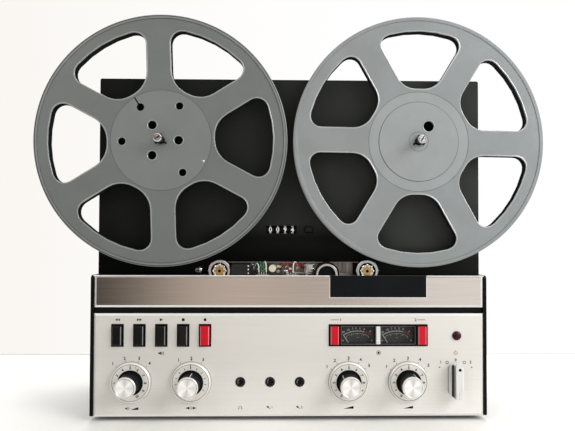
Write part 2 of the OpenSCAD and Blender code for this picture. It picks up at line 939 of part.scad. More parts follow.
// Housings of the two reel motors, seated on the chassis pillars
module reel_motors() {
  r = reel_motor_d / 2;
  end = motor_y + reel_motor_len;
  color("#6f7274")
    for (s = [-1, 1])
      turned(s * spindle_x, spindle_z)
        polygon([
          [motor_shaft_r + run_gap, motor_y], [r, motor_y], [r, motor_y + 12], [r - 3, motor_y + 14],
          [r - 3, end - 14], [r, end - 12], [r, end - 4], [r - 14, end], [motor_shaft_r + run_gap, end]
        ]);
}

// Housing of the capstan motor on the back of the chassis
module capstan_motor() {
  r = capstan_motor_d / 2;
  color("#7b7e80")
    turned(capstan_x, capstan_z)
      polygon([
        [capstan_r + run_gap, chassis_back], [r, chassis_back], [r, chassis_back + 16],
        [r - 4, chassis_back + 20],
        [r - 4, capstan_rear - 8], [r - 16, capstan_rear], [capstan_r + run_gap, capstan_rear]
      ]);
}

// Power transformer: core, winding and mounting feet
module power_transformer() {
  x = -inner_w / 2 + transformer_inset + transformer_w / 2;
  y = rear_face - sheet_t - transformer_gap - transformer_d;
  color("#5a5d60") {
    block(
      [x - transformer_w / 2, y + yoke, floor_z],
      [x + transformer_w / 2, y + transformer_d - yoke, floor_z + transformer_h]
    );
    block(
      [x - transformer_w / 2 + yoke, y, floor_z + yoke],
      [x + transformer_w / 2 - yoke, y + yoke, floor_z + transformer_h - yoke]
    );
    block(
      [x - transformer_w / 2 + yoke, y + transformer_d - yoke, floor_z + yoke],
      [x + transformer_w / 2 - yoke, y + transformer_d, floor_z + transformer_h - yoke]
    );
  }
}

// Mother board on spacers with its plug-in boards
module circuit_boards() {
  left = -inner_w / 2 + board_left;
  right = inner_w / 2 - board_right;
  front = chassis_back + board_front;
  back = rear_face - sheet_t - board_back;
  seat = floor_z + spacer_h;
  step = (right - left) / boards;
  color("#2f5d3a") {
    block([left, front, seat], [right, back, seat + board_t]);
    for (x = [left + board_edge, right - board_edge], y = [front + board_edge, back - board_edge])
      translate([x, y, floor_z])
        cylinder(r = spacer_r, h = spacer_h);
    for (i = [0 : boards - 1])
      block(
        [left + (i + 0.5) * step, front + board_edge, seat + board_t],
        [left + (i + 0.5) * step + board_t, back - 2 * board_edge, seat + board_t + board_h]
      );
  }
}

// Cast head block with tape pins, wire post, bracket and the pivot stud of the pinch arm
module head_block() {
  left = notch_left - block_margin;
  right = notch_right + block_margin;
  high = notch_z + block_margin;
  depth = chassis_y - block_y;
  color("#b9bbbc")
    difference() {
      union() {
        slab(block_y, depth)
          polygon(
            rounded_box(
              (left + right) / 2,
              panel_top + (block_low_z + high) / 2,
              right - left,
              high - block_low_z,
              block_margin
            )
          );
        rod(pinch_pivot_x, arm_y - 1.5, panel_top + pinch_pivot_z, pivot_r, block_y - arm_y + 1.5 + eps);
        for (x = pin_x)
          turned(x, panel_top + head_low_z + pin_up)
            polygon(stepped(0, head_front, [
              [pin_r, head_front + pin_rim],
              [pin_waist, head_front + pin_rim + tape_room],
              [pin_r, block_y + eps]
            ]));
        rod(wire_post_x, terminal_y, panel_top + wire_post_z, wire_post_r, block_y - terminal_y + eps);
        block(
          [bracket_x - bracket_t / 2, terminal_y, panel_top + head_top_z - block_margin],
          [bracket_x + bracket_t / 2, block_y + eps, panel_top + notch_z - 1]
        );
      }
      rod(capstan_x, block_y - eps, capstan_z, capstan_r + run_gap, depth + 2 * eps);
    }
}

// Shielded head at the left, record head and playback head with their terminals
module tape_heads() {
  front = head_front;
  color("#2a2b2c") {
    difference() {
      slab(front, block_y - front)
        polygon(rounded(
          [
            [shield_x - shield_w / 2, panel_top + head_low_z],
            [shield_x + shield_w / 2, panel_top + head_low_z],
            [shield_x + shield_w / 2, panel_top + shield_top_z],
            [shield_x - shield_w / 2, panel_top + shield_top_z]
          ],
          [6, 6, 1.5, 1.5]
        ));
      slab(front - eps, 1)
        rect(shield_x, panel_top + shield_top_z - 8, shield_w - 5, 10);
    }
    for (x = head_x) {
      slab(front, head_d)
        polygon(rounded(
          [
            [x - head_w / 2, panel_top + head_low_z], [x + head_w / 2, panel_top + head_low_z],
            [x + head_w / 2, panel_top + head_top_z], [x - head_w / 2, panel_top + head_top_z]
          ],
          [5, 5, 1, 1]
        ));
      slab(front + head_d, block_y - front - head_d)
        rect(
          x,
          panel_top + (head_low_z + head_top_z) / 2,
          head_w - 2 * head_stem_rim,
          head_top_z - head_low_z - 2 * head_stem_rim
        );
      for (i = [0 : terminals - 1])
        translate([x + (i - (terminals - 1) / 2) * terminal_pitch, terminal_y, panel_top + head_top_z - eps])
          cylinder(r = terminal_r, h = terminal_len + eps);
    }
  }
}

// Point on a cubic curve
function curve_at(p, t) =
  pow(1 - t, 3) * p[0] + 3 * pow(1 - t, 2) * t * p[1] + 3 * (1 - t) * t * t * p[2] + pow(t, 3) * p[3];

// Tube of small diameter swept along a cubic curve
module wire(p) {
  rings = 9;
  sides = 8;
  mids = [for (i = [0 : rings]) curve_at(p, i / rings)];
  ways = [for (i = [0 : rings])
    unit(curve_at(p, min(1, i / rings + eps)) - curve_at(p, max(0, i / rings - eps)))];
  points = [for (i = [0 : rings], k = [0 : sides - 1])
    let (
      side = unit(cross(ways[i], [0.31, 0.9, 0.3])),
      up = cross(side, ways[i])
    )
    mids[i] + wire_d / 2 * (side * cos(k * 360 / sides) + up * sin(k * 360 / sides))];
  walls = [for (i = [0 : rings - 1], k = [0 : sides - 1])
    let (
      a = i * sides + k,
      b = i * sides + (k + 1) % sides
    )
    each [[a, a + sides, b + sides], [a, b + sides, b]]];
  first = [for (k = [0 : sides - 1]) k];
  last = [for (k = [sides - 1 : -1 : 0]) rings * sides + k];
  polyhedron(points, concat(walls, [first, last]));
}

// Wires from the head terminals to the head block
module head_wires() {
  start_y = terminal_y;
  start_z = panel_top + head_top_z + terminal_len + wire_gap;
  end_y = block_y - wire_gap;
  lead = 4;
  // Head, terminal, reach to the side, height of the bow, and height of the far end
  routes = [
    [0, 0, -6.5, 19, 44],
    [0, 1, -6, 21, 47],
    [0, 2, -4.5, 18, 44.5],
    [0, 3, -4, 21, 47.5],
    [1, 0, -8, 18, 45],
    [1, 2, 6, 20, 47.5],
    [1, 3, 8.5, 21, 45]
  ];
  color("#3f9a55")
    for (r = routes)
      let (x = head_x[r[0]] + (r[1] - (terminals - 1) / 2) * terminal_pitch)
        wire([
          [x, start_y, start_z],
          [x, start_y, start_z + r[3]],
          [x + r[2], end_y - lead, panel_top + r[4]],
          [x + r[2], end_y, panel_top + r[4]]
        ]);
}

// Fixed posts of the guide rollers, each with its ball race
module guide_posts() {
  ball_r = 1.45;
  race_r = roller_d / 2 - roller_wall - ball_r - 0.75;
  race_y = roller_front + 2.4;
  color("#b08d4a")
    for (x = [roller_left_x, roller_right_x])
      union() {
        turned(x, panel_top + roller_z)
          polygon([
            [0, roller_front + 2], [1.6, roller_front + 2], [1.6, roller_front + 0.8],
            [post_d / 2, roller_front + 0.8],
            [post_d / 2, race_y - 0.6], [race_r, race_y - 0.6], [race_r, race_y + 0.6],
            [post_d / 2, race_y + 0.6],
            [post_d / 2, chassis_y], [0, chassis_y]
          ]);
        for (i = [0 : race_balls - 1])
          let (p = polar(race_r, i * 360 / race_balls))
            translate([x + p.x, race_y, panel_top + roller_z + p.y])
              sphere(r = ball_r);
      }
}

// Counter frame: cheeks, shaft, guide of the reset button and stub of the pulley
module counter_frame() {
  color("#333435")
    difference() {
      union() {
        for (x = [counter_left, counter_mid_plate])
          block(
            [x, deck_back, counter_zc - counter_half_h],
            [x + counter_plate, counter_rear, counter_zc + counter_half_h]
          );
        block(
          [counter_left, counter_rear - counter_plate, counter_zc - counter_half_h],
          [counter_right, counter_rear, counter_zc + counter_half_h]
        );
        block(
          [counter_mid_plate, deck_back, counter_zc - reset_h / 2 - slide_gap - counter_plate],
          [counter_right, counter_rear, counter_zc + reset_h / 2 + slide_gap + counter_plate]
        );
        rod_x(
          counter_left + eps,
          counter_y,
          counter_zc,
          counter_shaft_r,
          counter_row + 2 * counter_plate - 2 * eps
        );
        rod(counter_x, counter_rear - eps, counter_zc, stub_r, pulley_y + pulley_w + 1 - counter_rear);
      }
      slab(deck_back - eps, counter_rear - counter_plate - deck_back + eps)
        rect(reset_x, counter_zc, reset_w + 2 * slide_gap, reset_h + 2 * slide_gap);
    }
}

// Belt from the take-up spindle to the counter
module counter_belt() {
  c1 = [spindle_x, spindle_z];
  c2 = [counter_x, counter_zc];
  r1 = drive_pulley_d / 2 - groove_depth + slide_gap;
  r2 = pulley_d / 2 - groove_depth + slide_gap;
  color("#0d0d0d")
    slab(pulley_y + pulley_w / 2 - belt_w / 2, belt_w)
      difference() {
        polygon(belt_loop(c1, r1 + belt_t, c2, r2 + belt_t));
        polygon(belt_loop(c1, r1, c2, r2));
      }
}

// Meter housing: frame, two movements with their dials, and wells of the record buttons
module meter_housing() {
  zc = panel_top - meter_z;
  front = panel_y - meter_reach;
  cavity_w = dial_w - 2 * dial_ledge;
  color("#1c1d1e")
    difference() {
      union() {
        slab(front, panel_back - front + eps)
          polygon(rounded_box(meter_x, zc, meter_w, meter_h, 1));
        slab(panel_back, meter_d)
          rect(meter_x, (meter_low + meter_top) / 2, meter_w + 2 * meter_border, meter_top - meter_low);
      }
      for (s = [-1, 1]) {
        slab(front - eps, glass_y + glass_t - front + eps)
          rect(meter_x + s * dial_off, zc, dial_w + 2 * seat_gap, dial_h + 2 * seat_gap);
        slab(front - eps, dial_y - front + eps)
          rect(meter_x + s * dial_off, zc, cavity_w, dial_h - 2 * dial_ledge);
        slab(panel_back + 0.8, dial_y - panel_back - 0.8)
          rect(
            meter_x + s * dial_off,
            (pivot_z - needle_below + zc + dial_h / 2 - dial_ledge) / 2,
            cavity_w,
            zc + dial_h / 2 - dial_ledge - pivot_z + needle_below
          );
        rod(meter_x + s * dial_off, dial_y - eps, pivot_z, 0.6 + run_gap, 4);
        slab(front - eps, select_back + select_travel + pass_gap - front)
          rect(meter_x + s * select_off, zc, select_w + 2 * slide_gap, select_h + 2 * slide_gap);
      }
    }
}

// Two clear meter windows
module meter_windows() {
  color("#cfd8dc", 0.35)
    for (s = [-1, 1])
      slab(glass_y, glass_t)
        rect(meter_x + s * dial_off, panel_top - meter_z, dial_w, dial_h);
}

// Three jack sockets with their bores
module jack_sockets() {
  color("#121212")
    for (x = jack_xs)
      difference() {
        union() {
          rod(x, panel_y - 0.4, panel_top - jack_z, jack_d / 2, panel_t + 0.4 + eps);
          slab(panel_back, jack_depth + 2)
            polygon(rounded_box(x, panel_top - jack_z, jack_body_w, jack_body_w, 2));
        }
        rod(x, panel_y - 0.4 - eps, panel_top - jack_z, jack_bore / 2, jack_depth + eps);
      }
}

// Stacked rotary controls behind the knobs and the power switch
module rotary_controls() {
  r = control_d / 2;
  end = panel_back + control_len;
  color("#777a7c") {
    for (x = knob_x)
      turned(x, panel_top - knob_z)
        polygon([
          [ring_shaft_d / 2 + run_gap, panel_back], [r - 4, panel_back], [r - 4, panel_back + 3],
          [r, panel_back + 3], [r, end],
          [0, end], [0, shaft_end + 1], [shaft_d / 2 + run_gap, shaft_end + 1],
          [shaft_d / 2 + run_gap, ring_shaft_end + 0.5],
          [ring_shaft_d / 2 + run_gap, ring_shaft_end + 0.5]
        ]);
    turned(power_x, panel_top - power_z)
      polygon([
        [shaft_d / 2 + run_gap, panel_back], [r - 4, panel_back], [r - 4, panel_back + 3],
        [r, panel_back + 3], [r, end],
        [0, end], [0, shaft_end + 1], [shaft_d / 2 + run_gap, shaft_end + 1]
      ]);
  }
}

// Switch block behind the transport keys, with a well for each
module key_block() {
  left = key_first_x - well_w / 2 - 2;
  right = key_first_x + 4 * key_pitch + well_w / 2 + 2;
  zc = panel_top - key_z;
  color("#171818")
    difference() {
      union() {
        slab(panel_back, key_block_back - panel_back)
          rect((left + right) / 2, zc, right - left, well_h + 4);
        slab(panel_y - 0.2, panel_t + 0.2 + eps)
          for (i = [0 : 4])
            rect(key_first_x + i * key_pitch, zc, well_w, well_h);
      }
      slab(panel_y - 0.2 - eps, key_back + key_travel + pass_gap - panel_y + 0.2)
        for (i = [0 : 4])
          rect(key_first_x + i * key_pitch, zc, key_w + 2 * slide_gap, key_h + 2 * slide_gap);
    }
}

// Red lens of the lamp with its holder
module lamp_lens() {
  r = lamp_d / 2;
  color("#8c1420")
    turned(lamp_x, panel_top - lamp_z)
      polygon(concat(
        [[0, panel_back + 12], [0, panel_y - 3]],
        [for (i = [1 : arc_steps])
          let (a = i * 90 / arc_steps)
          [(r - 0.4) * sin(a), panel_y - 1 - 2 * cos(a)]],
        [[r, panel_y - 0.8], [r, panel_y], [r - 0.6, panel_y], [r - 0.6, panel_back + 12]]
      ));
}

// Line sockets, round connectors, fuse holder and mains inlet inside the rear rim
module rear_connectors() {
  row_z = base_z + socket_z;
  color("#2b2c2d") {
    for (i = [0 : line_sockets - 1], j = [0, 1])
      turned(socket_x + i * socket_pitch, row_z + j * socket_pitch)
        polygon([
          [line_bore / 2, rear_face], [6, rear_face], [6, rear_face + 1.5], [4.2, rear_face + 1.5],
          [4.2, rear_face + socket_len], [line_bore / 2, rear_face + socket_len]
        ]);
    turned(inlet_x, row_z + socket_pitch)
      polygon(stepped(0, rear_face, [[7, rear_face + 2], [5.5, rear_face + 6]]));
    difference() {
      slab(rear_face, socket_len)
        polygon(rounded_box(inlet_x, base_z + inlet_z, inlet_w, inlet_h, inlet_r));
      slab(rear_face + 1, socket_len)
        polygon(
          rounded_box(
            inlet_x,
            base_z + inlet_z,
            inlet_w - 2 * inlet_wall,
            inlet_h - 2 * inlet_wall,
            inlet_r
          )
        );
    }
  }
}

// Brake solenoid with the bore of its plunger, and pinch solenoid
module solenoids() {
  half = solenoid_size / 2;
  depth = solenoid_size - 6;
  pinch_solenoid_x = capstan_x + capstan_motor_d / 2 + 6 + half;
  plunger_y = brake_y + brake_t / 2;
  color("#8a5a32") {
    difference() {
      block(
        [solenoid_x - half, chassis_back, brake_solenoid_top - solenoid_size],
        [solenoid_x + half, chassis_back + depth, brake_solenoid_top]
      );
      translate([solenoid_x, plunger_y, brake_solenoid_top - solenoid_size + 3])
        cylinder(r = plunger_d / 2 + slide_gap, h = solenoid_size);
    }
    block(
      [pinch_solenoid_x - half, chassis_back, panel_top + pinch_pivot_z - half],
      [pinch_solenoid_x + half, chassis_back + depth, panel_top + pinch_pivot_z + half]
    );
  }
}

// Spindle: slotted tip, keyed post, reel table, brake drum and motor shaft
module spindle(s, with_pulley) {
  post_r = spindle_d / 2;
  tip_r = spindle_tip_d / 2;
  tip_end = tip_y + spindle_tip_len;
  table_r = table_d / 2;
  collar_r = motor_shaft_r + 2;
  pulley_r = drive_pulley_d / 2;
  edge = (pulley_w - groove_w) / 2;
  pulley_steps = [
    [pulley_r, pulley_y + edge], [pulley_r - groove_depth, pulley_y + pulley_w - edge],
    [pulley_r, pulley_y + pulley_w]
  ];
  z = spindle_z;
  color("#b4aea2")
    difference() {
      union() {
        turned(s * spindle_x, z)
          polygon(concat(
            [[0, tip_y], [tip_r - 1, tip_y], [tip_r, tip_y + 1], [tip_r, tip_end], [post_r, tip_end + 1]],
            [[post_r, reel_back], [table_r, reel_back]],
            [[table_r, table_back - 1], [table_r - 1, table_back]],
            [[spindle_boss_d / 2, table_back], [spindle_boss_d / 2, drum_y]],
            [[drum_d / 2, drum_y], [drum_d / 2, drum_end], [collar_r, drum_end], [collar_r, pulley_y]],
            with_pulley ? stepped(collar_r, pulley_y, pulley_steps) : [],
            [[collar_r, pulley_y + pulley_w], [motor_shaft_r, pulley_y + pulley_w]],
            [[motor_shaft_r, motor_y + reel_motor_len + 6], [0, motor_y + reel_motor_len + 6]]
          ));
        for (a = [90, 210, 330])
          translate([s * spindle_x, 0, z])
            rotate([0, -a, 0])
              block([0, reel_y - 5, -spindle_key_w / 2], [spindle_key_r, reel_y + 6, spindle_key_w / 2]);
      }
      block([s * spindle_x - tip_r, tip_y - eps, z - 0.6], [s * spindle_x + tip_r, tip_y + 1.2, z + 0.6]);
    }
}

module left_spindle() {
  spindle(-1, false);
}

module right_spindle() {
  spindle(1, true);
}

// Flange with its windows and rolled rim; the rim stands out on side s
module flange(x, y, s, turn, outline) {
  r = reel_d / 2;
  inner = hub_face_d / 2 + 0.3;
  out_y = s < 0 ? y : y + flange_t;
  difference() {
    turned(x, spindle_z)
      polygon([
        [inner, y], [r - rim_w, y], [r - rim_w + 1, min(y, out_y + s * rim_bead)],
        [r - 1, min(y, out_y + s * rim_bead)],
        [r, min(y, out_y + s * rim_bead) + 0.6], [r, max(y + flange_t, out_y + s * rim_bead) - 0.6],
        [r - 1, max(y + flange_t, out_y + s * rim_bead)],
        [r - rim_w + 1, max(y + flange_t, out_y + s * rim_bead)],
        [r - rim_w, y + flange_t], [inner, y + flange_t]
      ]);
    slab(y - 1, flange_t + 2)
      translate([x, spindle_z])
        for (i = [0 : windows - 1])
          rotate(turn + (i + 0.5) * 360 / windows)
            polygon(outline);
  }
}

// Hub with its centre hole, key slots and the holes given as radius, angle and diameter
module hub(x, turn, disc_d, disc_t, holes) {
  face_r = hub_face_d / 2;
  drum_r = hub_d / 2;
  inside = face_r - hub_wall;
  slot_w = spindle_key_w + 0.5;
  difference() {
    turned(x, spindle_z)
      polygon([
        [hub_bore_r, reel_y - disc_t], [disc_d / 2, reel_y - disc_t], [disc_d / 2, reel_y],
        [face_r, reel_y],
        [face_r, reel_y + flange_t], [drum_r, reel_y + flange_t], [drum_r, reel_back - flange_t],
        [face_r, reel_back - flange_t], [face_r, reel_back], [inside, reel_back],
        [inside, reel_y + hub_face_t],
        [hub_boss_d / 2, reel_y + hub_face_t], [hub_boss_d / 2, reel_back], [hub_bore_r, reel_back]
      ]);
    for (a = [90, 210, 330])
      translate([x, 0, spindle_z])
        rotate([0, -a, 0])
          block([0, reel_y - 2, -slot_w / 2], [spindle_key_r + 0.4, reel_back + 1, slot_w / 2]);
    for (h = holes)
      rod(
        x + h[0] * cos(turn + h[1]),
        reel_y - 2,
        spindle_z + h[0] * sin(turn + h[1]),
        h[2] / 2,
        hub_face_t + 4
      );
  }
}

// Left reel: two flanges and a hub with three large and four small holes
module left_reel() {
  x = -spindle_x;
  outline = window_outline(
    left_spoke_w,
    left_window_in,
    left_window_out,
    left_fillet_in,
    left_fillet_out
  );
  big_holes = [for (a = [0, 120, 240]) [big_hole_r, a - 92, big_hole_d]];
  small_holes = [for (a = [-30, 30, 90, 212]) [small_hole_r, a, small_hole_d]];
  slit_a = left_turn + 30;
  color("#858988") {
    flange(x, reel_y, -1, left_turn, outline);
    flange(x, reel_back - flange_t, 1, left_turn, outline);
    difference() {
      hub(x, left_turn, hub_face_d / 2, 0, concat(big_holes, small_holes));
      translate([x, 0, spindle_z])
        rotate([0, -slit_a, 0])
          block([small_hole_r, reel_y - 1, -slit_w / 2], [hub_d / 2 + 1, reel_back + 1, slit_w / 2]);
    }
  }
}

// Right reel: two flanges and a hub with a raised disc and one hole
module right_reel() {
  x = spindle_x;
  outline = window_outline(
    right_spoke_w,
    right_window_in,
    right_window_out,
    right_fillet_in,
    right_fillet_out
  );
  color("#a6abab") {
    flange(x, reel_y, -1, right_turn, outline);
    flange(x, reel_back - flange_t, 1, right_turn, outline);
    hub(x, right_turn, right_disc_d, right_disc_t, [[right_hole_r, 58, right_hole_d]]);
  }
}

// Capstan shaft with the flywheel behind its motor
module capstan_rotor() {
  wheel_y = capstan_rear + 1.5;
  color("#c3c6c8")
    turned(capstan_x, capstan_z)
      polygon([
        [0, tape_y - 6], [capstan_r - 0.5, tape_y - 6], [capstan_r, tape_y - 5.5],
        [capstan_r, wheel_y - 1],
        [capstan_r + 4, wheel_y - 1], [capstan_r + 4, wheel_y], [flywheel_d / 2, wheel_y],
        [flywheel_d / 2, wheel_y + flywheel_t], [0, wheel_y + flywheel_t]
      ]);
}

// Pinch arm with the pin of its roller
module pinch_arm() {
  eye_r = pivot_r + 2.6;
  tail_r = 5;
  pivot = [pinch_pivot_x, panel_top + pinch_pivot_z];
  end = [pinch_x, panel_top + pinch_z];
  across = unit([-(end - pivot).y, (end - pivot).x]);
  eye = across * (eye_r - 1);
  tail = across * (tail_r - 1);
  color("#9b9ea0")
    difference() {
      union() {
        rod(pivot.x, arm_y, pivot.y, eye_r, arm_t);
        rod(end.x, arm_y, end.y, tail_r, arm_t);
        slab(arm_y, arm_t)
          polygon([pivot + eye, pivot - eye, end - tail, end + tail]);
        rod(end.x, tape_y - pinch_len / 2 + 1.2, end.y, arm_pin_r, arm_y - tape_y + pinch_len / 2);
      }
      rod(pivot.x, arm_y - eps, pivot.y, pivot_r + run_gap, arm_t + 2 * eps);
    }
}

// Pinch roller: rubber tyre on a turned hub
module pinch_roller() {
  r = pinch_d / 2;
  front = tape_y - pinch_len / 2;
  back = tape_y + pinch_len / 2;
  color("#191919")
    turned(pinch_x, panel_top + pinch_z)
      polygon([
        [arm_pin_r + run_gap, front + 1.6], [r * 0.6, front + 1.6], [r * 0.62, front + 0.2],
        [r * 0.8, front + 0.2],
        [r * 0.82, front + 0.8], [r * 0.86, front], [r - 0.6, front], [r, front + 0.6],
        [r, back - 0.6], [r - 0.6, back], [arm_pin_r + run_gap, back]
      ]);
}

// Guide roller: cup around the race, running on its post
module guide_roller(x) {
  r = roller_d / 2;
  back = roller_front + roller_len;
  color("#c9cccd")
    turned(x, panel_top + roller_z)
      polygon([
        [r - roller_wall, roller_front], [r - 0.8, roller_front], [r, roller_front + 0.8],
        [r, back - 0.8], [r - 0.8, back],
        [post_d / 2 + run_gap, back], [post_d / 2 + run_gap, roller_front + 5.2],
        [r - roller_wall, roller_front + 5.2]
      ]);
}

module left_guide_roller() {
  guide_roller(roller_left_x);
}

module right_guide_roller() {
  guide_roller(roller_right_x);
}

// Head cover flap with its lip, plate recess and hinge pins
module head_cover_flap() {
  plate_w = 99.5;
  plate_h = 22.6;
  recess = 0.5;
  color("#b7b0a8") {
    difference() {
      union() {
        bevelled(0, panel_y, flap_low, flap_w, flap_h, flap_t, bevel_w, bevel_d);
        block(
          [-flap_w / 2, panel_y + flap_t - eps, front_top - 1.5],
          [flap_w / 2, panel_y + flap_t + flap_lip, front_top]
        );
        for (s = [-1, 1])
          rod_x(
            s > 0 ? flap_w / 2 - 4 : -flap_w / 2 - slide_gap - hinge_len,
            hinge_y,
            hinge_z,
            hinge_r,
            4 + slide_gap + hinge_len
          );
      }
      block(
        [meter_x - plate_w / 2, panel_y - 1, front_top - plate_h],
        [meter_x + plate_w / 2, panel_y + recess, front_top - bevel_w]
      );
    }
  }
}

// Transport key number i
module transport_key(i, tint) {
  color(tint)
    bevelled(
      key_first_x + i * key_pitch,
      panel_y - key_reach,
      panel_top - key_z - key_h / 2,
      key_w,
      key_h,
      key_len,
      key_bevel,
      key_bevel
    );
}

module rewind_key() {
  transport_key(0, "#202122");
}

module forward_key() {
  transport_key(1, "#202122");
}

module play_key() {
  transport_key(2, "#202122");
}

module stop_key() {
  transport_key(3, "#202122");
}

module record_key() {
  transport_key(4, "#d40a24");
}

// Record button on side s of the meters
module record_select(s) {
  color("#d40a24")
    bevelled(
      meter_x + s * select_off,
      panel_y - select_reach,
      panel_top - meter_z - select_h / 2,
      select_w,
      select_h,
      select_len,
      key_bevel,
      key_bevel
    );
}

module record_select_left() {
  record_select(-1);
}

module record_select_right() {
  record_select(1);
}

// Knob with turned cap, grooved body and shaft
module knob(x) {
  r = knob_d / 2;
  back = ring_y - pass_gap;
  color("#c7c6c2")
    turned(x, panel_top - knob_z)
      polygon([
        [0, knob_y + 0.3], [r - 1.6, knob_y + 0.3], [r - 1.2, knob_y], [r - 0.5, knob_y],
        [r, knob_y + 0.5],
        [r, knob_y + knob_cap], [r - 0.6, knob_y + knob_cap], [r - 0.6, knob_y + knob_cap + 0.6],
        [r - 0.2, knob_y + knob_cap + 0.6], [r - 0.2, back - 1.5], [r + 0.8, back], [shaft_d / 2, back],
        [shaft_d / 2, shaft_end], [0, shaft_end]
      ]);
}

module volume_knob() {
  knob(knob_x[0]);
}

module balance_knob() {
  knob(knob_x[1]);
}

module level_knob_left() {
  knob(knob_x[2]);
}

module level_knob_right() {
  knob(knob_x[3]);
}

// Selector ring with its hollow shaft
module selector_ring(x) {
  r = ring_d / 2;
  back = ring_y + ring_t;
  bore_r = shaft_d / 2 + 3 * run_gap;
  color("#d2cfc8")
    turned(x, panel_top - knob_z)
      polygon([
        [bore_r, ring_y], [r - 1.4, ring_y], [r, ring_y + 1], [r, back], [ring_shaft_d / 2, back],
        [ring_shaft_d / 2, ring_shaft_end], [bore_r, ring_shaft_end]
      ]);
}

module monitor_ring() {
  selector_ring(knob_x[0]);
}

module mode_ring() {
  selector_ring(knob_x[1]);
}

module input_ring_left() {
  selector_ring(knob_x[2]);
}

module input_ring_right() {
  selector_ring(knob_x[3]);
}

// Power knob: waisted grip bar on a rounded foot, with its shaft
module power_knob() {
  front = panel_y - power_reach;
  foot = panel_y - 3;
  back = panel_y - pass_gap;
  low = panel_top - power_z - power_len / 2;
  grip = power_grip_w / 2;
  wide = power_w / 2;
  color("#cfccc6")
    union() {
      intersection() {
        translate([power_x, 0, low])
          linear_extrude(power_len)
            polygon([
              [-wide, back], [-wide, foot], [-grip - 1.6, foot - 2.2], [-grip, foot - 5],
              [-grip, front + 0.6], [-grip + 0.6, front],
              [grip - 0.6, front], [grip, front + 0.6], [grip, foot - 5], [grip + 1.6, foot - 2.2],
              [wide, foot], [wide, back]
            ]);
        slab(front - 1, power_reach + 2)
          polygon(rounded_box(power_x, panel_top - power_z, power_w, power_len, wide - 1));
      }
      rod(power_x, back - 1, panel_top - power_z, shaft_d / 2, shaft_end - back + 1);
    }
}

// Meter needle on side s: blade, hub, balance weight and pivot
module needle(s) {
  x = meter_x + s * dial_off;
  y = panel_back + 2.6;
  color("#e6e2da")
    union() {
      translate([x, 0, pivot_z])
        rotate([0, -needle_rest, 0]) {
          block([-0.3, y, -5], [0.3, y + 0.5, needle_len]);
          block([-1, y, -6.2], [1, y + 1.6, -3]);
        }
      rod(x, y - 0.4, pivot_z, 2, 1.6);
      rod(x, y, pivot_z, 0.6, dial_y + 3 - y);
    }
}

module needle_left() {
  needle(-1);
}

module needle_right() {
  needle(1);
}

// Number wheel in place i from the left
module counter_wheel(i) {
  x = counter_x + (i - 1.5) * wheel_pitch - wheel_w / 2;
  color("#1a1a1a")
    difference() {
      rod_x(x, counter_y, counter_zc, wheel_d / 2, wheel_w);
      rod_x(x - eps, counter_y, counter_zc, counter_shaft_r + run_gap, wheel_w + 2 * eps);
    }
}

module counter_wheel_thousands() {
  counter_wheel(0);
}

module counter_wheel_hundreds() {
  counter_wheel(1);
}

module counter_wheel_tens() {
  counter_wheel(2);
}

module counter_wheel_units() {
  counter_wheel(3);
}

// Reset button of the counter
module counter_reset() {
  color("#2a2b2c")
    bevelled(reset_x, deck_y - reset_reach, counter_zc - reset_h / 2, reset_w, reset_h, 14, 0.8, 0.8);
}

// Pulley that drives the counter
module counter_pulley() {
  r = pulley_d / 2;
  edge = (pulley_w - groove_w) / 2;
  color("#c9b27a")
    turned(counter_x, counter_zc)
      polygon(stepped(
        stub_r + run_gap,
        pulley_y,
        [[r, pulley_y + edge], [r - groove_depth, pulley_y + pulley_w - edge], [r, pulley_y + pulley_w]]
      ));
}

// Brake bar with two felt pads, guide slots and the plunger of its solenoid
module brake_bar() {
  half = spindle_x + pad_w / 2 + 2;
  slot_r = brake_pin_r + slide_gap;
  low = brake_z - brake_bar_h / 2;
  color("#a07a45")
    difference() {
      union() {
        slab(brake_y, brake_t) {
          rect(0, brake_z, 2 * half, brake_bar_h);
          for (s = [-1, 1])
            difference() {
              rect(s * spindle_x, brake_z + brake_bar_h / 2 + pad_h / 2, pad_w, pad_h + 8);
              translate([s * spindle_x, spindle_z])
                circle(r = drum_d / 2 + slide_gap);
            }
        }
        translate([solenoid_x, brake_y + brake_t / 2, low - plunger_len])
          cylinder(r = plunger_d / 2 - 0.3, h = plunger_len + 1);
      }
      slab(brake_y - eps, brake_t + 2 * eps)
        for (s = [-1, 1])
          polygon(
            rounded_box(
              s * brake_pin_x,
              brake_z + brake_travel / 2,
              2 * slot_r,
              2 * slot_r + brake_travel,
              slot_r - 0.1
            )
          );
    }
}

case_shell();
rear_panel();
main_chassis();
deck_plate();
front_surround();
control_panel();
rubber_feet();
reel_motors();
capstan_motor();
power_transformer();
circuit_boards();
head_block();
tape_heads();
head_wires();
guide_posts();
counter_frame();
counter_belt();
meter_housing();
meter_windows();
jack_sockets();
rotary_controls();
key_block();
lamp_lens();
rear_connectors();
solenoids();
left_spindle();
left_reel();
right_spindle();
right_reel();
capstan_rotor();
pinch_arm();
pinch_roller();
left_guide_roller();
right_guide_roller();
head_cover_flap();
rewind_key();
forward_key();
play_key();
stop_key();
record_key();
record_select_left();
record_select_right();
volume_knob();
balance_knob();
level_knob_left();
level_knob_right();
monitor_ring();
mode_ring();
input_ring_left();
input_ring_right();
power_knob();
needle_left();
needle_right();
counter_wheel_thousands();
counter_wheel_hundreds();
counter_wheel_tens();
counter_wheel_units();
counter_reset();
counter_pulley();
brake_bar();
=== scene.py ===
"""Looks of an open-reel tape recorder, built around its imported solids.

Places on the machine are in mm, the stage is in metres; +X right, +Y back, +Z up.
"""
from math import cos, hypot, pi, radians, sin

import bmesh
import bpy
from mathutils import Matrix, Vector

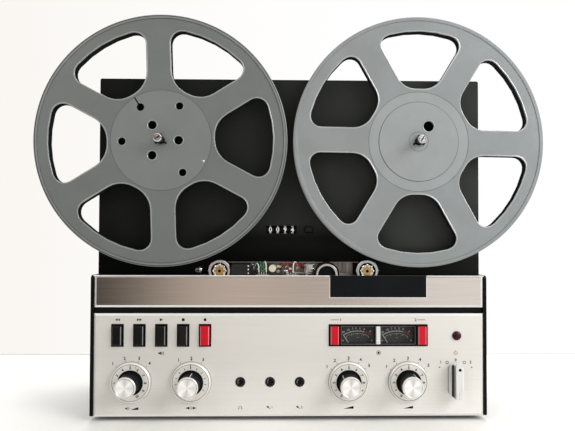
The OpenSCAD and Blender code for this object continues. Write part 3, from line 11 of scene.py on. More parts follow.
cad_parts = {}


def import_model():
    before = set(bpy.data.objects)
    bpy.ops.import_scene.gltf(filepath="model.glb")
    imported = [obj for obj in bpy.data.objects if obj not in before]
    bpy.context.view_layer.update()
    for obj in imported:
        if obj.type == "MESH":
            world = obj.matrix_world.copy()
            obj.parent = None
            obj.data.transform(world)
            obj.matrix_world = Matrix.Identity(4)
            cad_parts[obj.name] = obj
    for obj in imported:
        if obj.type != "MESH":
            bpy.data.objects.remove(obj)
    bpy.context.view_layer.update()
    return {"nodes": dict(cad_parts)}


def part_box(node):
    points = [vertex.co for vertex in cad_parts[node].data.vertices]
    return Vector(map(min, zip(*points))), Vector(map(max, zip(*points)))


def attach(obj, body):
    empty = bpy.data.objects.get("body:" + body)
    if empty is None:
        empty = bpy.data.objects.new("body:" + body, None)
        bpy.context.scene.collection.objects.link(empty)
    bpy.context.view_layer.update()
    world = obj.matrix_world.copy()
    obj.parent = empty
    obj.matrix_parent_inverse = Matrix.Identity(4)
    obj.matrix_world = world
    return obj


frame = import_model()
nodes = frame["nodes"]
MM = 0.001


# Places, taken from the solids, in mm
def box(node):
    """Least and greatest corner of a node's box."""
    low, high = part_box(node)
    return low / MM, high / MM


def middle(node):
    low, high = box(node)
    return (low + high) / 2


def front_of(node):
    return box(node)[0].y


def back_of(node):
    return box(node)[1].y


def on_block(x, ahead, z):
    """Place ahead of the head block's face, from its middle and its top edge."""
    return Vector((BLOCK_X + x, BLOCK_Y - ahead, BLOCK_TOP + z))


PANEL_Y = front_of("control_panel")
BASE = box("control_panel")[0].z
REEL_RIM_Y = front_of("left_reel")
REEL_FACE_Y = REEL_RIM_Y + 0.4
HUB_FACE_R = 52.95
BLOCK_X = middle("head_block").x
BLOCK_Y = back_of("tape_heads")
BLOCK_TOP = box("head_block")[1].z
DIAL_Y = back_of("needle_left") - 3
JACKS = box("jack_sockets")
JACK_Z = middle("jack_sockets").z
JACK_R = (JACKS[1].z - JACKS[0].z) / 2
JACK_X = (JACKS[0].x + JACK_R, middle("jack_sockets").x, JACKS[1].x - JACK_R)
KNOB_NODES = ["volume_knob", "balance_knob", "level_knob_left", "level_knob_right"]
RING_NODES = ["monitor_ring", "mode_ring", "input_ring_left", "input_ring_right"]
KEY_NODES = ["rewind_key", "forward_key", "play_key", "stop_key", "record_key"]
GUIDE_NODES = ["left_guide_roller", "right_guide_roller"]
WHEEL_NODES = [f"counter_wheel_{w}" for w in ("thousands", "hundreds", "tens", "units")]


# Shader nodes
def new_node(tree, kind, values=None, **settings):
    """A shader node with some socket values and settings."""
    n = tree.nodes.new("ShaderNode" + kind)
    for key, value in settings.items():
        setattr(n, key, value)
    for socket, value in (values or {}).items():
        n.inputs[socket].default_value = value
    return n


def worked(tree, operation, *values):
    """Result of a sum whose terms are sockets or plain numbers."""
    n = new_node(tree, "Math", operation=operation)
    for socket, value in zip(n.inputs, values):
        if isinstance(value, (int, float)):
            socket.default_value = value
        else:
            tree.links.new(value, socket)
    return n.outputs["Value"]


def times(tree, first, *others):
    """Product of some values."""
    for value in others:
        first = worked(tree, "MULTIPLY", first, value)
    return first


def span(tree, value, low, high, first, last):
    """Value carried from one range to another, held at its ends."""
    n = new_node(tree, "MapRange", {"From Min": low, "From Max": high, "To Min": first, "To Max": last})
    tree.links.new(value, n.inputs["Value"])
    return n.outputs["Result"]


def ramp(tree, value, stops):
    """Colours along a value from 0 to 1, as pairs of place and colour."""
    n = new_node(tree, "ValToRGB")
    marks = n.color_ramp.elements
    while len(marks) < len(stops):
        marks.new(0.5)
    for mark, (place, color) in zip(marks, stops):
        mark.position = place
        mark.color = (*color, 1)
    tree.links.new(value, n.inputs["Fac"])
    return n.outputs["Color"]


def scaled(tree, color, factor):
    """Colour made lighter or darker by a factor."""
    n = new_node(tree, "VectorMath", operation="SCALE")
    tree.links.new(color, n.inputs[0])
    tree.links.new(factor, n.inputs["Scale"])
    return n.outputs["Vector"]


def split_xyz(tree, vector):
    """A vector as separate X, Y and Z."""
    n = new_node(tree, "SeparateXYZ")
    tree.links.new(vector, n.inputs["Vector"])
    return n.outputs


def on_piece(tree):
    """Place on the piece, in its own coordinates."""
    return new_node(tree, "TexCoord").outputs["Object"]


# Materials
def surface(m):
    """Sockets of a material's shader."""
    return m.node_tree.nodes["Principled BSDF"].inputs


def shader(name, color, rough=0.5, metal=0, specular=0.5, **sockets):
    """A material with a principled shader and fixed values."""
    m = bpy.data.materials.new(name)
    m.use_nodes = True
    inputs = surface(m)
    inputs["Base Color"].default_value = (*color, 1)
    inputs["Roughness"].default_value = rough
    inputs["Metallic"].default_value = metal
    inputs["Specular IOR Level"].default_value = specular
    for key, value in sockets.items():
        inputs[key.replace("_", " ")].default_value = value
    return m


def noise(m, scale, stretch=(1, 1, 1), detail=4):
    """A noise in the piece's own coordinates, stretched along its axes."""
    t = m.node_tree
    place = new_node(t, "Mapping", {"Scale": stretch})
    cloud = new_node(t, "TexNoise", {"Scale": scale, "Detail": detail, "Roughness": 0.55})
    t.links.new(on_piece(t), place.inputs["Vector"])
    t.links.new(place.outputs["Vector"], cloud.inputs["Vector"])
    return cloud.outputs["Fac"]


def tinted(m, low, high, scale, stretch=(1, 1, 1), ends=(0.35, 0.65), detail=4):
    """Base colour that wanders between two colours."""
    t = m.node_tree
    color = ramp(t, noise(m, scale, stretch, detail), ((ends[0], low), (ends[1], high)))
    t.links.new(color, surface(m)["Base Color"])
    return m


def worn(m, low, high, scale, stretch=(1, 1, 1)):
    """Roughness that wanders between two values."""
    t = m.node_tree
    t.links.new(span(t, noise(m, scale, stretch), 0.3, 0.7, low, high), surface(m)["Roughness"])
    return m


def bumped(m, scale, height, strength=0.3, stretch=(1, 1, 1), detail=4):
    """Fine relief; its height is in mm."""
    t = m.node_tree
    relief = new_node(t, "Bump", {"Strength": strength, "Distance": height * MM})
    t.links.new(noise(m, scale, stretch, detail), relief.inputs["Height"])
    t.links.new(relief.outputs["Normal"], surface(m)["Normal"])
    return m


def brushed(name, low, high, rough, metal, along, pitch=1400, reach=7, height=0.02, strength=0.25, aniso=0):
    """Metal brushed along one axis."""
    scale = 100
    stretch = [pitch / scale] * 3
    stretch["XYZ".index(along)] = reach / scale
    m = shader(name, high, rough, metal, Anisotropic=aniso)
    tinted(m, low, high, scale, stretch, (0.25, 0.75), 6)
    worn(m, rough * 0.85, rough * 1.15, scale, stretch)
    return bumped(m, scale, height, strength, stretch, 6)


def grained(name, low, high, rough, metal=0, scale=900, height=0.04, strength=0.25, **sockets):
    """Painted, moulded or cast surface with a fine grain and slow clouds of colour."""
    m = shader(name, high, rough, metal, **sockets)
    tinted(m, low, high, 38)
    worn(m, rough * 0.88, rough * 1.12, 55)
    return bumped(m, scale, height, strength)


# Most rows: name, darker and lighter colour, roughness, metal, then the grain or the run of the brush
MAT = dict(
    # The deck's black takes a painted reflection and a painted shade further down
    deck=shader("deck_paint", (0.008, 0.009, 0.009), 0.34, specular=0.06),
    case=grained(
        "case_paint", (0.006, 0.006, 0.0062), (0.01, 0.01, 0.0105), 0.5, scale=1100, specular=0.4),
    moulded=grained(
        "moulded_black", (0.002, 0.002, 0.002), (0.0035, 0.0035, 0.0035), 0.5, scale=1300, specular=0.12),
    panel=brushed(
        "panel_brushed", (0.68, 0.665, 0.625), (0.75, 0.735, 0.695), 0.38, 0.22, "X", 2600, 9, aniso=0.5),
    edge=brushed("edge_polished", (0.84, 0.83, 0.8), (0.92, 0.91, 0.88), 0.24, 0.6, "X", strength=0.1),
    flap=brushed(
        "flap_brushed", (0.7, 0.635, 0.58), (0.82, 0.765, 0.715), 0.17, 1, "X", 1800, 12, 0.01, 0.18, 0.4),
    # Darker copy of the flap's metal for its top bevel: painted shade
    flap_top=brushed(
        "flap_top", (0.42, 0.385, 0.35), (0.5, 0.465, 0.43), 0.3, 1, "X", 1800, 12, 0.01),
    # Pale: for the pale tags among the heads, and as a painted highlight along the crest of the flap
    white_edge=grained("edge_white", (0.82, 0.805, 0.78), (0.9, 0.885, 0.86), 0.3, 0.1, 1500, 0.01),

    reel_dark=grained(
        "reel_grey_dark", (0.148, 0.16, 0.158), (0.158, 0.17, 0.168), 0.42, 0.25, 1600, 0.03),
    reel_light=grained(
        "reel_grey_light", (0.246, 0.264, 0.268), (0.268, 0.287, 0.292), 0.42, 0.3, 1300, 0.1, 0.5),
    # Near-black copies of the reel greys for the faces inside the reels: painted shade
    reel_dark_in=grained(
        "reel_dark_inside", (0.008, 0.009, 0.009), (0.013, 0.014, 0.014), 0.6, 0.1, 1600, 0.03,
        specular=0.15),
    reel_light_in=grained(
        "reel_light_inside", (0.006, 0.0065, 0.0065), (0.01, 0.011, 0.011), 0.6, 0.1, 1300, 0.03,
        specular=0.15),
    # Lighter copies of the reel greys for the faces of the hubs: painted light
    hub_dark=grained(
        "reel_hub_dark", (0.18, 0.193, 0.192), (0.192, 0.205, 0.204), 0.42, 0.25, 1600, 0.03),
    hub_light=grained(
        "reel_hub_light", (0.29, 0.311, 0.315), (0.312, 0.334, 0.339), 0.42, 0.3, 1300, 0.1, 0.5),
    # Greys lighter than the reels, for their rolled lips: painted highlights
    reel_lip=grained("reel_lip_dark", (0.3, 0.315, 0.31), (0.34, 0.355, 0.35), 0.3, 0.5, 1600, 0.02),
    reel_lip_light=grained(
        "reel_lip_light", (0.4, 0.42, 0.425), (0.46, 0.48, 0.485), 0.3, 0.5, 1600, 0.02),
    reel_line=grained("reel_line", (0.03, 0.032, 0.032), (0.05, 0.053, 0.053), 0.5, 0.2, 1600),
    # Lighter band on the left reel's rim: painted highlight
    bead=grained("reel_bead", (0.215, 0.229, 0.227), (0.24, 0.255, 0.252), 0.34, 0.4, 1600, 0.02),

    steel=brushed("steel_ground", (0.52, 0.52, 0.51), (0.68, 0.68, 0.67), 0.26, 1, "Y", 900, 40),
    bright=brushed(
        "steel_bright", (0.8, 0.8, 0.79), (0.9, 0.9, 0.89), 0.16, 1, "Y", 900, 40, strength=0.1),
    brass=grained("brass_turned", (0.5, 0.33, 0.1), (0.62, 0.44, 0.17), 0.26, 1, 700, 0.02, 0.15),
    cast=grained("alloy_cast", (0.4, 0.4, 0.395), (0.55, 0.55, 0.54), 0.45, 0.8, 700, 0.06, 0.35),
    block=brushed("block_brushed", (0.05, 0.044, 0.04), (0.36, 0.32, 0.29), 0.36, 0.7, "Z", 420, 14),
    # Streaks from near black to near white for the works between the heads: painted highlights and painted
    # shade
    works=brushed("works_metal", (0.02, 0.019, 0.017), (0.85, 0.83, 0.74), 0.28, 0.6, "Z", 420, 160),
    spindle=grained("spindle_bronze", (0.045, 0.036, 0.024), (0.1, 0.082, 0.056), 0.3, 0.8, 900, 0.02),
    # Black rubber of the tyres, also laid as painted shade on the reel tables seen through the hubs, in the
    # bores of the guide posts and in the recesses of the guide rollers
    tyre=grained(
        "tyre_black", (0.003, 0.003, 0.003), (0.005, 0.005, 0.005), 0.7, 0, 1800, 0.04, 0.3, specular=0.1),
    rubber=grained(
        "rubber_ground", (0.008, 0.008, 0.008), (0.014, 0.014, 0.014), 0.72, 0, 1800, 0.05, 0.4),
    motor=grained("motor_paint", (0.06, 0.063, 0.066), (0.09, 0.094, 0.098), 0.5, 0.2, 800),
    core=grained("core_varnish", (0.045, 0.04, 0.036), (0.075, 0.068, 0.06), 0.45, 0.3, 500),
    coil=grained("coil_varnish", (0.1, 0.045, 0.018), (0.17, 0.08, 0.03), 0.35, 0.2),
    board=grained("board_lacquer", (0.02, 0.075, 0.03), (0.035, 0.11, 0.045), 0.35, 0, 600),

    bar=brushed("bar_brushed", (0.66, 0.66, 0.64), (0.88, 0.88, 0.86), 0.3, 0.3, "Z", 700, 20),
    # Darker grey copy of the bar's metal for its sides, and near black for its sloped flare: painted shade
    bar_side=brushed("bar_side", (0.3, 0.3, 0.295), (0.4, 0.4, 0.39), 0.3, 0.9, "Z", 900, 20),
    bar_dark=grained("bar_shade", (0.012, 0.013, 0.013), (0.022, 0.023, 0.023), 0.4, 0.3, 1200),
    key=grained(
        "key_black", (0.003, 0.0035, 0.0036), (0.005, 0.0056, 0.0058), 0.22, 0, 1500, 0.01, 0.1,
        specular=0.3),
    # Lighter grey for the edges of the black keys: painted highlights
    key_edge=grained("key_edge", (0.16, 0.17, 0.17), (0.24, 0.25, 0.25), 0.2, 0.3, 1500, 0.01),
    red=grained(
        "key_red", (0.5, 0.001, 0.012), (0.56, 0.002, 0.016), 0.3, 0, 1500, 0.01, 0.1, specular=0.25),
    # Pink for the edges of the red keys: painted highlights
    red_edge=grained("key_red_edge", (0.72, 0.16, 0.19), (0.8, 0.22, 0.25), 0.25, 0, 1500, 0.01),
    ring=grained("ring_alloy", (0.75, 0.735, 0.685), (0.82, 0.805, 0.755), 0.3, 0.25, 1800, 0.02),
    # Black of the knobs' sides, also laid on the rings as a painted reflection of the knobs
    charcoal=grained(
        "knob_side", (0.004, 0.005, 0.005), (0.008, 0.009, 0.01), 0.4, 0, 1500, specular=0.03),
    lamp=grained(
        "lamp_lens", (0.032, 0.001, 0.005), (0.06, 0.0015, 0.009), 0.2, 0, 1200, 0.01, specular=0.3),
    socket=grained("socket_black", (0.003, 0.003, 0.003), (0.006, 0.006, 0.006), 0.25, 0, 1500),
    plate=grained(
        "plate_black", (0.0035, 0.0052, 0.0058), (0.005, 0.007, 0.0078), 0.3, 0, 1500, 0.01, specular=0.1),
    dial=grained("dial_grey", (0.045, 0.05, 0.048), (0.064, 0.069, 0.066), 0.55, 0, 1800),
    needle=grained("needle_paint", (0.75, 0.7, 0.66), (0.85, 0.8, 0.76), 0.4, 0, 2000),
    window=worn(shader("meter_window", (0.02, 0.02, 0.02), 0.05, Alpha=0.14), 0.03, 0.07, 120),

    line=grained("line_grey", (0.16, 0.155, 0.145), (0.24, 0.235, 0.22), 0.5, 0.2, 1500, 0.01),
    ink=grained(
        "ink_black", (0.003, 0.003, 0.003), (0.006, 0.006, 0.006), 0.7, 0, 2500, 0.01, specular=0.1),
    ink_white=grained("ink_white", (0.7, 0.7, 0.68), (0.82, 0.82, 0.8), 0.6, 0, 2500, 0.01),
    ink_red=grained("ink_red", (0.45, 0.02, 0.02), (0.55, 0.03, 0.03), 0.6, 0, 2500, 0.01),
    green=grained("wire_green", (0.02, 0.13, 0.04), (0.04, 0.2, 0.07), 0.35, 0, 1500),
    white=grained("wire_white", (0.62, 0.62, 0.55), (0.75, 0.75, 0.68), 0.4, 0, 1500),
    wire_red=grained(
        "wire_red", (0.2, 0.006, 0.012), (0.3, 0.01, 0.02), 0.2, 0, 1500, Coat_Weight=0.6,
        Coat_Roughness=0.05),
    head=grained("head_black", (0.004, 0.004, 0.0045), (0.008, 0.008, 0.009), 0.3, 0, 1400),
    ivory=grained("post_ivory", (0.62, 0.58, 0.42), (0.74, 0.7, 0.55), 0.4),
)


def shaded(m, *spans):
    """Painted light and shade: base colour made lighter or darker along an axis: axis, from, to (mm), factor,
    factor.
    """
    t = m.node_tree
    base = surface(m)["Base Color"]
    at = split_xyz(t, on_piece(t))
    factors = [span(t, at[axis], low * MM, high * MM, f, g) for axis, low, high, f, g in spans]
    t.links.new(scaled(t, base.links[0].from_socket, times(t, *factors)), base)


def deck_paint(m):
    """Black paint with a painted reflection, lighter to the right, and a painted shade, darkest low in the
    middle; darker still towards its foot, and clouded a little.
    """
    t = m.node_tree
    at = split_xyz(t, on_piece(t))
    end = 200
    black = (0.0155, 0.0166, 0.0154)
    # Painted reflection: the black grows lighter towards the right
    levels = ((-200, 0.5), (-150, 0.6), (-45, 1.05), (0, 1.3), (60, 1.65), (130, 2.4), (200, 2.6))
    stops = [((x + end) / (2 * end), [c * level for c in black]) for x, level in levels]
    color = ramp(t, span(t, at["X"], -end * MM, end * MM, 0, 1), stops)
    deck_low = box("deck_plate")[0].z
    # Painted shade: a dark band low in the middle
    near = span(t, worked(t, "ABSOLUTE", at["X"]), 75 * MM, 112 * MM, 1, 0)
    low = span(t, at["Z"], (deck_low + 55.5) * MM, (deck_low + 39.5) * MM, 0, 0.8)
    kept = worked(t, "SUBTRACT", 1, times(t, near, low))
    foot = span(t, at["Z"], (deck_low + 17.5) * MM, (deck_low + 31.5) * MM, 0.3, 1)
    clouds = span(t, noise(m, 30), 0, 1, 0.86, 1.1)
    t.links.new(scaled(t, color, times(t, kept, foot, clouds)), surface(m)["Base Color"])
    worn(m, 0.3, 0.38, 55)
    bumped(m, 1500, 0.04, 0.2)


def spun_alloy():
    """Turned aluminium whose highlights run round its middle, with painted highlights: lighter and darker
    sectors in its colour.
    """
    m = shader("cap_spun", (0.84, 0.83, 0.8), 0.3, 0.2, Anisotropic=0.75)
    t = m.node_tree
    way = new_node(t, "Tangent", direction_type="RADIAL", axis="Z")
    t.links.new(way.outputs["Tangent"], surface(m)["Tangent"])
    around = new_node(t, "TexGradient", gradient_type="RADIAL")
    t.links.new(on_piece(t), around.inputs["Vector"])
    # Painted highlights: the colour swings between lighter and darker sectors round the middle
    levels = ((0, 0.84), (0.1, 1), (0.22, 0.62), (0.36, 0.98), (0.5, 0.7), (0.62, 1), (0.74, 0.6),
              (0.88, 1), (1, 0.84))
    stops = [(place, (level, level * 0.99, level * 0.955)) for place, level in levels]
    t.links.new(ramp(t, around.outputs["Fac"], stops), surface(m)["Base Color"])
    return m


# Painted reflection and painted shade on the deck
deck_paint(MAT["deck"])
# Painted light and shade: the panel lighter to the right and towards its foot
shaded(MAT["panel"], ("X", -200, 200, 0.9, 1.05), ("Z", 8, 66, 1.2, 1))
# Painted light and shade: the head block darker to the left and lighter to the right
shaded(MAT["block"], ("X", -75, 20, 0.15, 0.9), ("X", 40, 75, 1, 1.7))
MAT["spun"] = spun_alloy()


# Looks of the solids
def dress(node, base, **rules):
    """Gives a solid its material, and others to the faces that a rule picks by centre (mm) and normal."""
    mesh = nodes[node].data
    mesh.materials.clear()
    for name in (base, *rules):
        mesh.materials.append(MAT[name])
    for p in mesh.polygons:
        p.material_index = 0
        c = p.center / MM
        for i, picks in enumerate(rules.values(), 1):
            if picks(c, p.normal):
                p.material_index = i
                break


def off_axis(*names):
    """Distance of a point, in mm, from the nearest of some nodes' own axes along Y."""
    mids = [middle(n) for n in names]
    return lambda c: min(hypot(c.x - m.x, c.z - m.z) for m in mids)


def bevel(c, v):
    """Sloped edge of a piece that faces the front."""
    return -0.98 < v.y < -0.2


PLAIN = dict(
    board=["circuit_boards"], brass=["counter_pulley", "brake_bar"], case=["case_shell", "rear_panel"],
    cast=["main_chassis", "rotary_controls"], coil=["solenoids"], core=["power_transformer"],
    deck=["deck_plate"], key=["counter_reset"], lamp=["lamp_lens"], motor=["reel_motors", "capstan_motor"],
    moulded=["front_surround", "counter_frame", "key_block", *WHEEL_NODES],
    needle=["needle_left", "needle_right"], ring=RING_NODES, rubber=["rubber_feet", "counter_belt"],
    steel=["capstan_rotor"], window=["meter_windows"],
)
for base, names in PLAIN.items():
    for n in names:
        dress(n, base)

# Panel, flap, keys and knobs
dress("control_panel", "panel", edge=bevel)
# The flap's top bevel takes the darker copy of its metal as painted shade
dress("head_cover_flap", "flap", flap_top=lambda c, v: v.z > 0.3 and bevel(c, v), edge=bevel)
# Black keys: the faces that slope to the right take a painted highlight
for n in KEY_NODES[:4]:
    dress(n, "key", key_edge=lambda c, v: v.y < -0.2 and v.x > 0.2)
# Red keys: the faces that slope to either side take a painted highlight
for n in (KEY_NODES[4], "record_select_left", "record_select_right"):
    dress(n, "red", red_edge=lambda c, v: v.y < -0.2 and abs(v.x) > 0.2)
# Power knob: near black on the sloped flare and a darker grey on the sides, both painted shade
dress(
    "power_knob", "bar",
    bar_dark=lambda c, v: -0.6 < v.y < -0.4 and abs(v.x) > 0.7,
    bar_side=lambda c, v: abs(v.x) > 0.9,
)
for n in KNOB_NODES:
    cap_back, shaft_front = front_of(n) + 2.61, PANEL_Y - 5.1
    dress(n, "charcoal", edge=lambda c, v: c.y < cap_back, steel=lambda c, v: c.y > shaft_front)
dress("meter_housing", "moulded", dial=lambda c, v: v.y < -0.9 and abs(c.y - DIAL_Y) < 0.5)
mouth_y, plug_r = PANEL_Y + 3, 4
dress(
    "jack_sockets", "socket",
    steel=lambda c, v: abs(v.y) < 0.5 and c.y > mouth_y and abs(c.z - JACK_Z) < plug_r,
)
line_left, line_low = 20, 30
dress("rear_connectors", "socket", steel=lambda c, v: c.x > line_left and c.z > line_low)

# Reels and spindles
for n, base in (("left_reel", "reel_dark"), ("right_reel", "reel_light")):
    radius = off_axis(n)
    flange_back, reel_back = front_of(n) + 2.2, back_of(n) - 1
    rim_inside, hub_edge = 131, HUB_FACE_R - 0.05
    dress(n, base, **{
        # Faces inside the reel take a near-black copy of its grey: painted shade
        base + "_in": lambda c, v: (
            c.y > flange_back and not (v.y > 0.5 and c.y > reel_back) and radius(c) < rim_inside),
        # Hub faces take a lighter copy of the reel grey: painted light
        base.replace("reel", "hub"): lambda c, v: v.y < -0.9 and radius(c) < hub_edge,
    })
for n in ("left_spindle", "right_spindle"):
    tip, table = front_of(n), back_of("left_reel")
    dress(
        n, "steel",
        bright=lambda c, v: c.y < tip + 1.3 and v.y < -0.2,
        spindle=lambda c, v: c.y < tip + 13.6,
        # The reel table's face, seen through the holes of the hub, in black: painted shade
        tyre=lambda c, v: c.y < table + 6,
        brass=lambda c, v: c.y > table + 12,
    )

# Rollers and heads
from_pinch = off_axis("pinch_roller")
hub_r, ring_r, pin_r = 8.1, 11.3, 4
dress("pinch_arm", "cast", tyre=lambda c, v: from_pinch(c) < pin_r)
dress("pinch_roller", "tyre", bright=lambda c, v: hub_r <= from_pinch(c) < ring_r and v.y < -0.1)
from_post = off_axis(*GUIDE_NODES)
balls_back, bore_r, post_r, cup_r = front_of("guide_posts") + 3.2, 1.7, 5.1, 8.95
dress(
    "guide_posts", "brass",
    # The bore in black: painted shade
    tyre=lambda c, v: from_post(c) < bore_r,
    bright=lambda c, v: from_post(c) > post_r and c.y < balls_back,
)
for n in GUIDE_NODES:
    face = front_of(n) + 0.1
    # The floor of the roller's recess in black: painted shade
    dress(n, "bright", tyre=lambda c, v: from_post(c) < cup_r and c.y > face)
wire_post_x, wire_post_r, wire_post_low = BLOCK_X - 21.25, 4.2, BLOCK_TOP - 16
works_left, works_right = BLOCK_X - 16.75, BLOCK_X + 27.25
dress(
    "head_block", "block",
    ivory=lambda c, v: (
        abs(c.x - wire_post_x) < wire_post_r and c.y < BLOCK_Y - 1.4 and c.z > wire_post_low),
    # The works between the heads take the streaks of painted highlight and painted shade
    works=lambda c, v: works_left < c.x < works_right and c.y < BLOCK_Y - 0.2,
)
shield_right = BLOCK_X - 40.75
dress("tape_heads", "head", steel=lambda c, v: c.x > shield_right)


# Head wires
def islands(mesh):
    """Groups of faces that hang together, as lists of face numbers, from left to right."""
    owner = {}

    def root(k):
        while owner[k] != k:
            k = owner[k]
        return k

    keys = [tuple(round(x / MM, 3) for x in v.co) for v in mesh.vertices]
    for k in keys:
        owner.setdefault(k, k)
    for p in mesh.polygons:
        first = root(keys[p.vertices[0]])
        for i in p.vertices[1:]:
            owner[root(keys[i])] = first
    groups = {}
    for p in mesh.polygons:
        groups.setdefault(root(keys[p.vertices[0]]), []).append(p.index)
    return sorted(groups.values(), key=lambda g: sum(mesh.polygons[i].center.x for i in g) / len(g))


wires = nodes["head_wires"].data
wires.materials.clear()
wire_kinds = ["white", "green", "wire_red"]
wire_order = ["white", "green", "green", "white", "wire_red", "white", "wire_red"]
for kind in wire_kinds:
    wires.materials.append(MAT[kind])
for i, group in enumerate(islands(wires)):
    for k in group:
        wires.polygons[k].material_index = wire_kinds.index(wire_order[i % len(wire_order)])


# New pieces
def added(name, data):
    """A new object in the scene."""
    o = bpy.data.objects.new(name, data)
    bpy.context.scene.collection.objects.link(o)
    return o


def piece(name, mesh, body, mat, place=Matrix()):
    """Puts a mesh into the scene, on a body."""
    o = added(name, mesh)
    o.matrix_world = place
    mesh.materials.append(MAT[mat])
    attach(o, body)
    return o


def mesh_of(name, shape):
    """Mesh of a finished bmesh."""
    mesh = bpy.data.meshes.new(name)
    shape.to_mesh(mesh)
    shape.free()
    return mesh


def facing_front(name, verts, faces, smooth=False):
    """Mesh of some corners and faces, each face turned to the front."""
    mesh = bpy.data.meshes.new(name)
    mesh.from_pydata(verts, [], faces)
    shape = bmesh.new()
    shape.from_mesh(mesh)
    for f in shape.faces:
        f.normal_update()
        f.smooth = smooth
        if f.normal.y > 0:
            f.normal_flip()
    shape.to_mesh(mesh)
    shape.free()
    return mesh


def circle(n):
    """Points on a circle of radius 1."""
    return [(cos(2 * pi * i / n), sin(2 * pi * i / n)) for i in range(n)]


def around(x, z, r, turn):
    """Point at radius r; the turn is in degrees, clockwise from the top."""
    a = radians(turn)
    return x + r * sin(a), z + r * cos(a)


def skin(shape, rows):
    """Smooth faces between neighbouring rings of corners."""
    for a, b in zip(rows, rows[1:]):
        for j in range(len(a)):
            k = (j + 1) % len(a)
            shape.faces.new((a[j], a[k], b[k], b[j])).smooth = True


def small_plate(name, size, broken, at, turn=0):
    """Box with broken edges, turned about Y; sizes and place in mm."""
    shape = bmesh.new()
    bmesh.ops.create_cube(shape, size=1)
    bmesh.ops.scale(shape, vec=Vector(size) * MM, verts=shape.verts)
    bmesh.ops.bevel(shape, geom=shape.edges[:], offset=broken * MM, segments=2, affect="EDGES")
    bmesh.ops.rotate(shape, matrix=Matrix.Rotation(radians(turn), 3, "Y"), verts=shape.verts)
    bmesh.ops.translate(shape, vec=Vector(at) * MM, verts=shape.verts)
    return mesh_of(name, shape)


GLYPHS = {}


def glyph(text):
    """Faces of a text, one unit high, about its own middle."""
    if text == "9":  # the font's own 9 doesn't fill, so it is a 6 turned half round
        verts, faces = glyph("6")
        return [(-x, -y) for x, y in verts], faces
    if text not in GLYPHS:
        curve = bpy.data.curves.new("glyph", "FONT")
        curve.body = text
        curve.align_x = "CENTER"
        curve.offset = 0.03
        o = added("glyph", curve)
        shape = o.evaluated_get(bpy.context.evaluated_depsgraph_get()).to_mesh()
        verts = [(v.co.x, v.co.y) for v in shape.vertices]
        faces = [tuple(p.vertices) for p in shape.polygons]
        bpy.data.objects.remove(o)
        bpy.data.curves.remove(curve)
        low = min(y for _, y in verts)
        high = max(y for _, y in verts)
        size = high - low
        GLYPHS[text] = ([(x / size, (y - (low + high) / 2) / size) for x, y in verts], faces)
    return GLYPHS[text]


class Ink:
    """Flat print in X and Z, in mm, on a surface that faces the front."""

    def __init__(self):
        self.verts, self.faces = [], []

    def add(self, pts, faces=None):
        start = len(self.verts)
        self.verts += pts
        self.faces += [tuple(start + i for i in f) for f in (faces or [range(len(pts))])]
        return self

    def outline(self, x, z, pts, k=1):
        """Filled outline about (x, z), made k times as large."""
        return self.add([(x + k * u, z + k * v) for u, v in pts])

    def bar(self, x, z, w, h):
        return self.outline(x, z, [(-w / 2, -h / 2), (w / 2, -h / 2), (w / 2, h / 2), (-w / 2, h / 2)])

    def frame(self, x, z, w, h, t):
        for s in (-1, 1):
            self.bar(x, z + s * (h - t) / 2, w, t)
            self.bar(x + s * (w - t) / 2, z, t, h - 2 * t)
        return self

    def arrow(self, x, z, w, h):
        return self.outline(x, z, [(-w / 2, -h / 2), (w / 2, 0), (-w / 2, h / 2)])

    def wedge(self, x, z, w, h):
        return self.outline(x, z, [(-w / 2, -h / 2), (w / 2, -h / 2), (w / 2, h / 2)])

    def disc(self, x, z, r, n=20):
        return self.outline(x, z, circle(n), r)

    def arc(self, x, z, r, t, start=0, end=360, n=28):
        """Band of width t on radius r; angles run clockwise from the top."""
        turns = [start + (end - start) * i / n for i in range(n + 1)]
        pts = [around(x, z, k, turn) for turn in turns for k in (r - t / 2, r + t / 2)]
        return self.add(pts, [(2 * i, 2 * i + 2, 2 * i + 3, 2 * i + 1) for i in range(n)])

    def tick(self, x, z, r, length, t, turn):
        """Stroke of width t that leads away from (x, z), from radius r on."""
        (x0, z0), (x1, z1) = around(x, z, r, turn), around(x, z, r + length, turn)
        u, v = around(0, 0, t / 2, turn + 90)
        return self.add([(x0 - u, z0 - v), (x0 + u, z0 + v), (x1 + u, z1 + v), (x1 - u, z1 - v)])

    def text(self, words, x, z, h, turn=0):
        verts, faces = glyph(words)
        c, s = cos(radians(-turn)), sin(radians(-turn))
        return self.add([(x + h * (u * c - v * s), z + h * (u * s + v * c)) for u, v in verts], faces)

    def put(self, name, y, mat, body="chassis", slot="moulded_black", lift=0.06):
        """Lays the print in front of depth y."""
        verts = [(x * MM, (y - lift) * MM, z * MM) for x, z in self.verts]
        return piece(name, facing_front(name, verts, self.faces), body, mat)


# Print on the panel and the knobs
def marks_by_keys():
    """Transport signs above the keys."""
    ink = Ink()
    rewind, forward, play, stop, record = [middle(n).x for n in KEY_NODES]
    z = BASE + 99.6
    w, h = 2.5, 2.9
    for s in (-1, 1):
        ink.arrow(rewind + s * w / 2, z, -w, h)
        ink.arrow(forward + s * w / 2, z, w, h)
    ink.arrow(play, z, 3.4, 3.2)
    ink.bar(stop, z, 2.8, 2.8)
    ink.disc(record, z, 1.5)
    ink.put("signs_keys", PANEL_Y, "ink")


def speaker(ink, x, z, k):
    ink.bar(x - 1.15 * k, z, 0.9 * k, k)
    ink.outline(x, z, [(-0.6, -0.5), (0.3, -1.2), (0.3, 1.2), (-0.6, 0.5)], k)
    for r in (1, 1.7):
        ink.arc(x, z, r * k, 0.28 * k, 50, 130, 8)


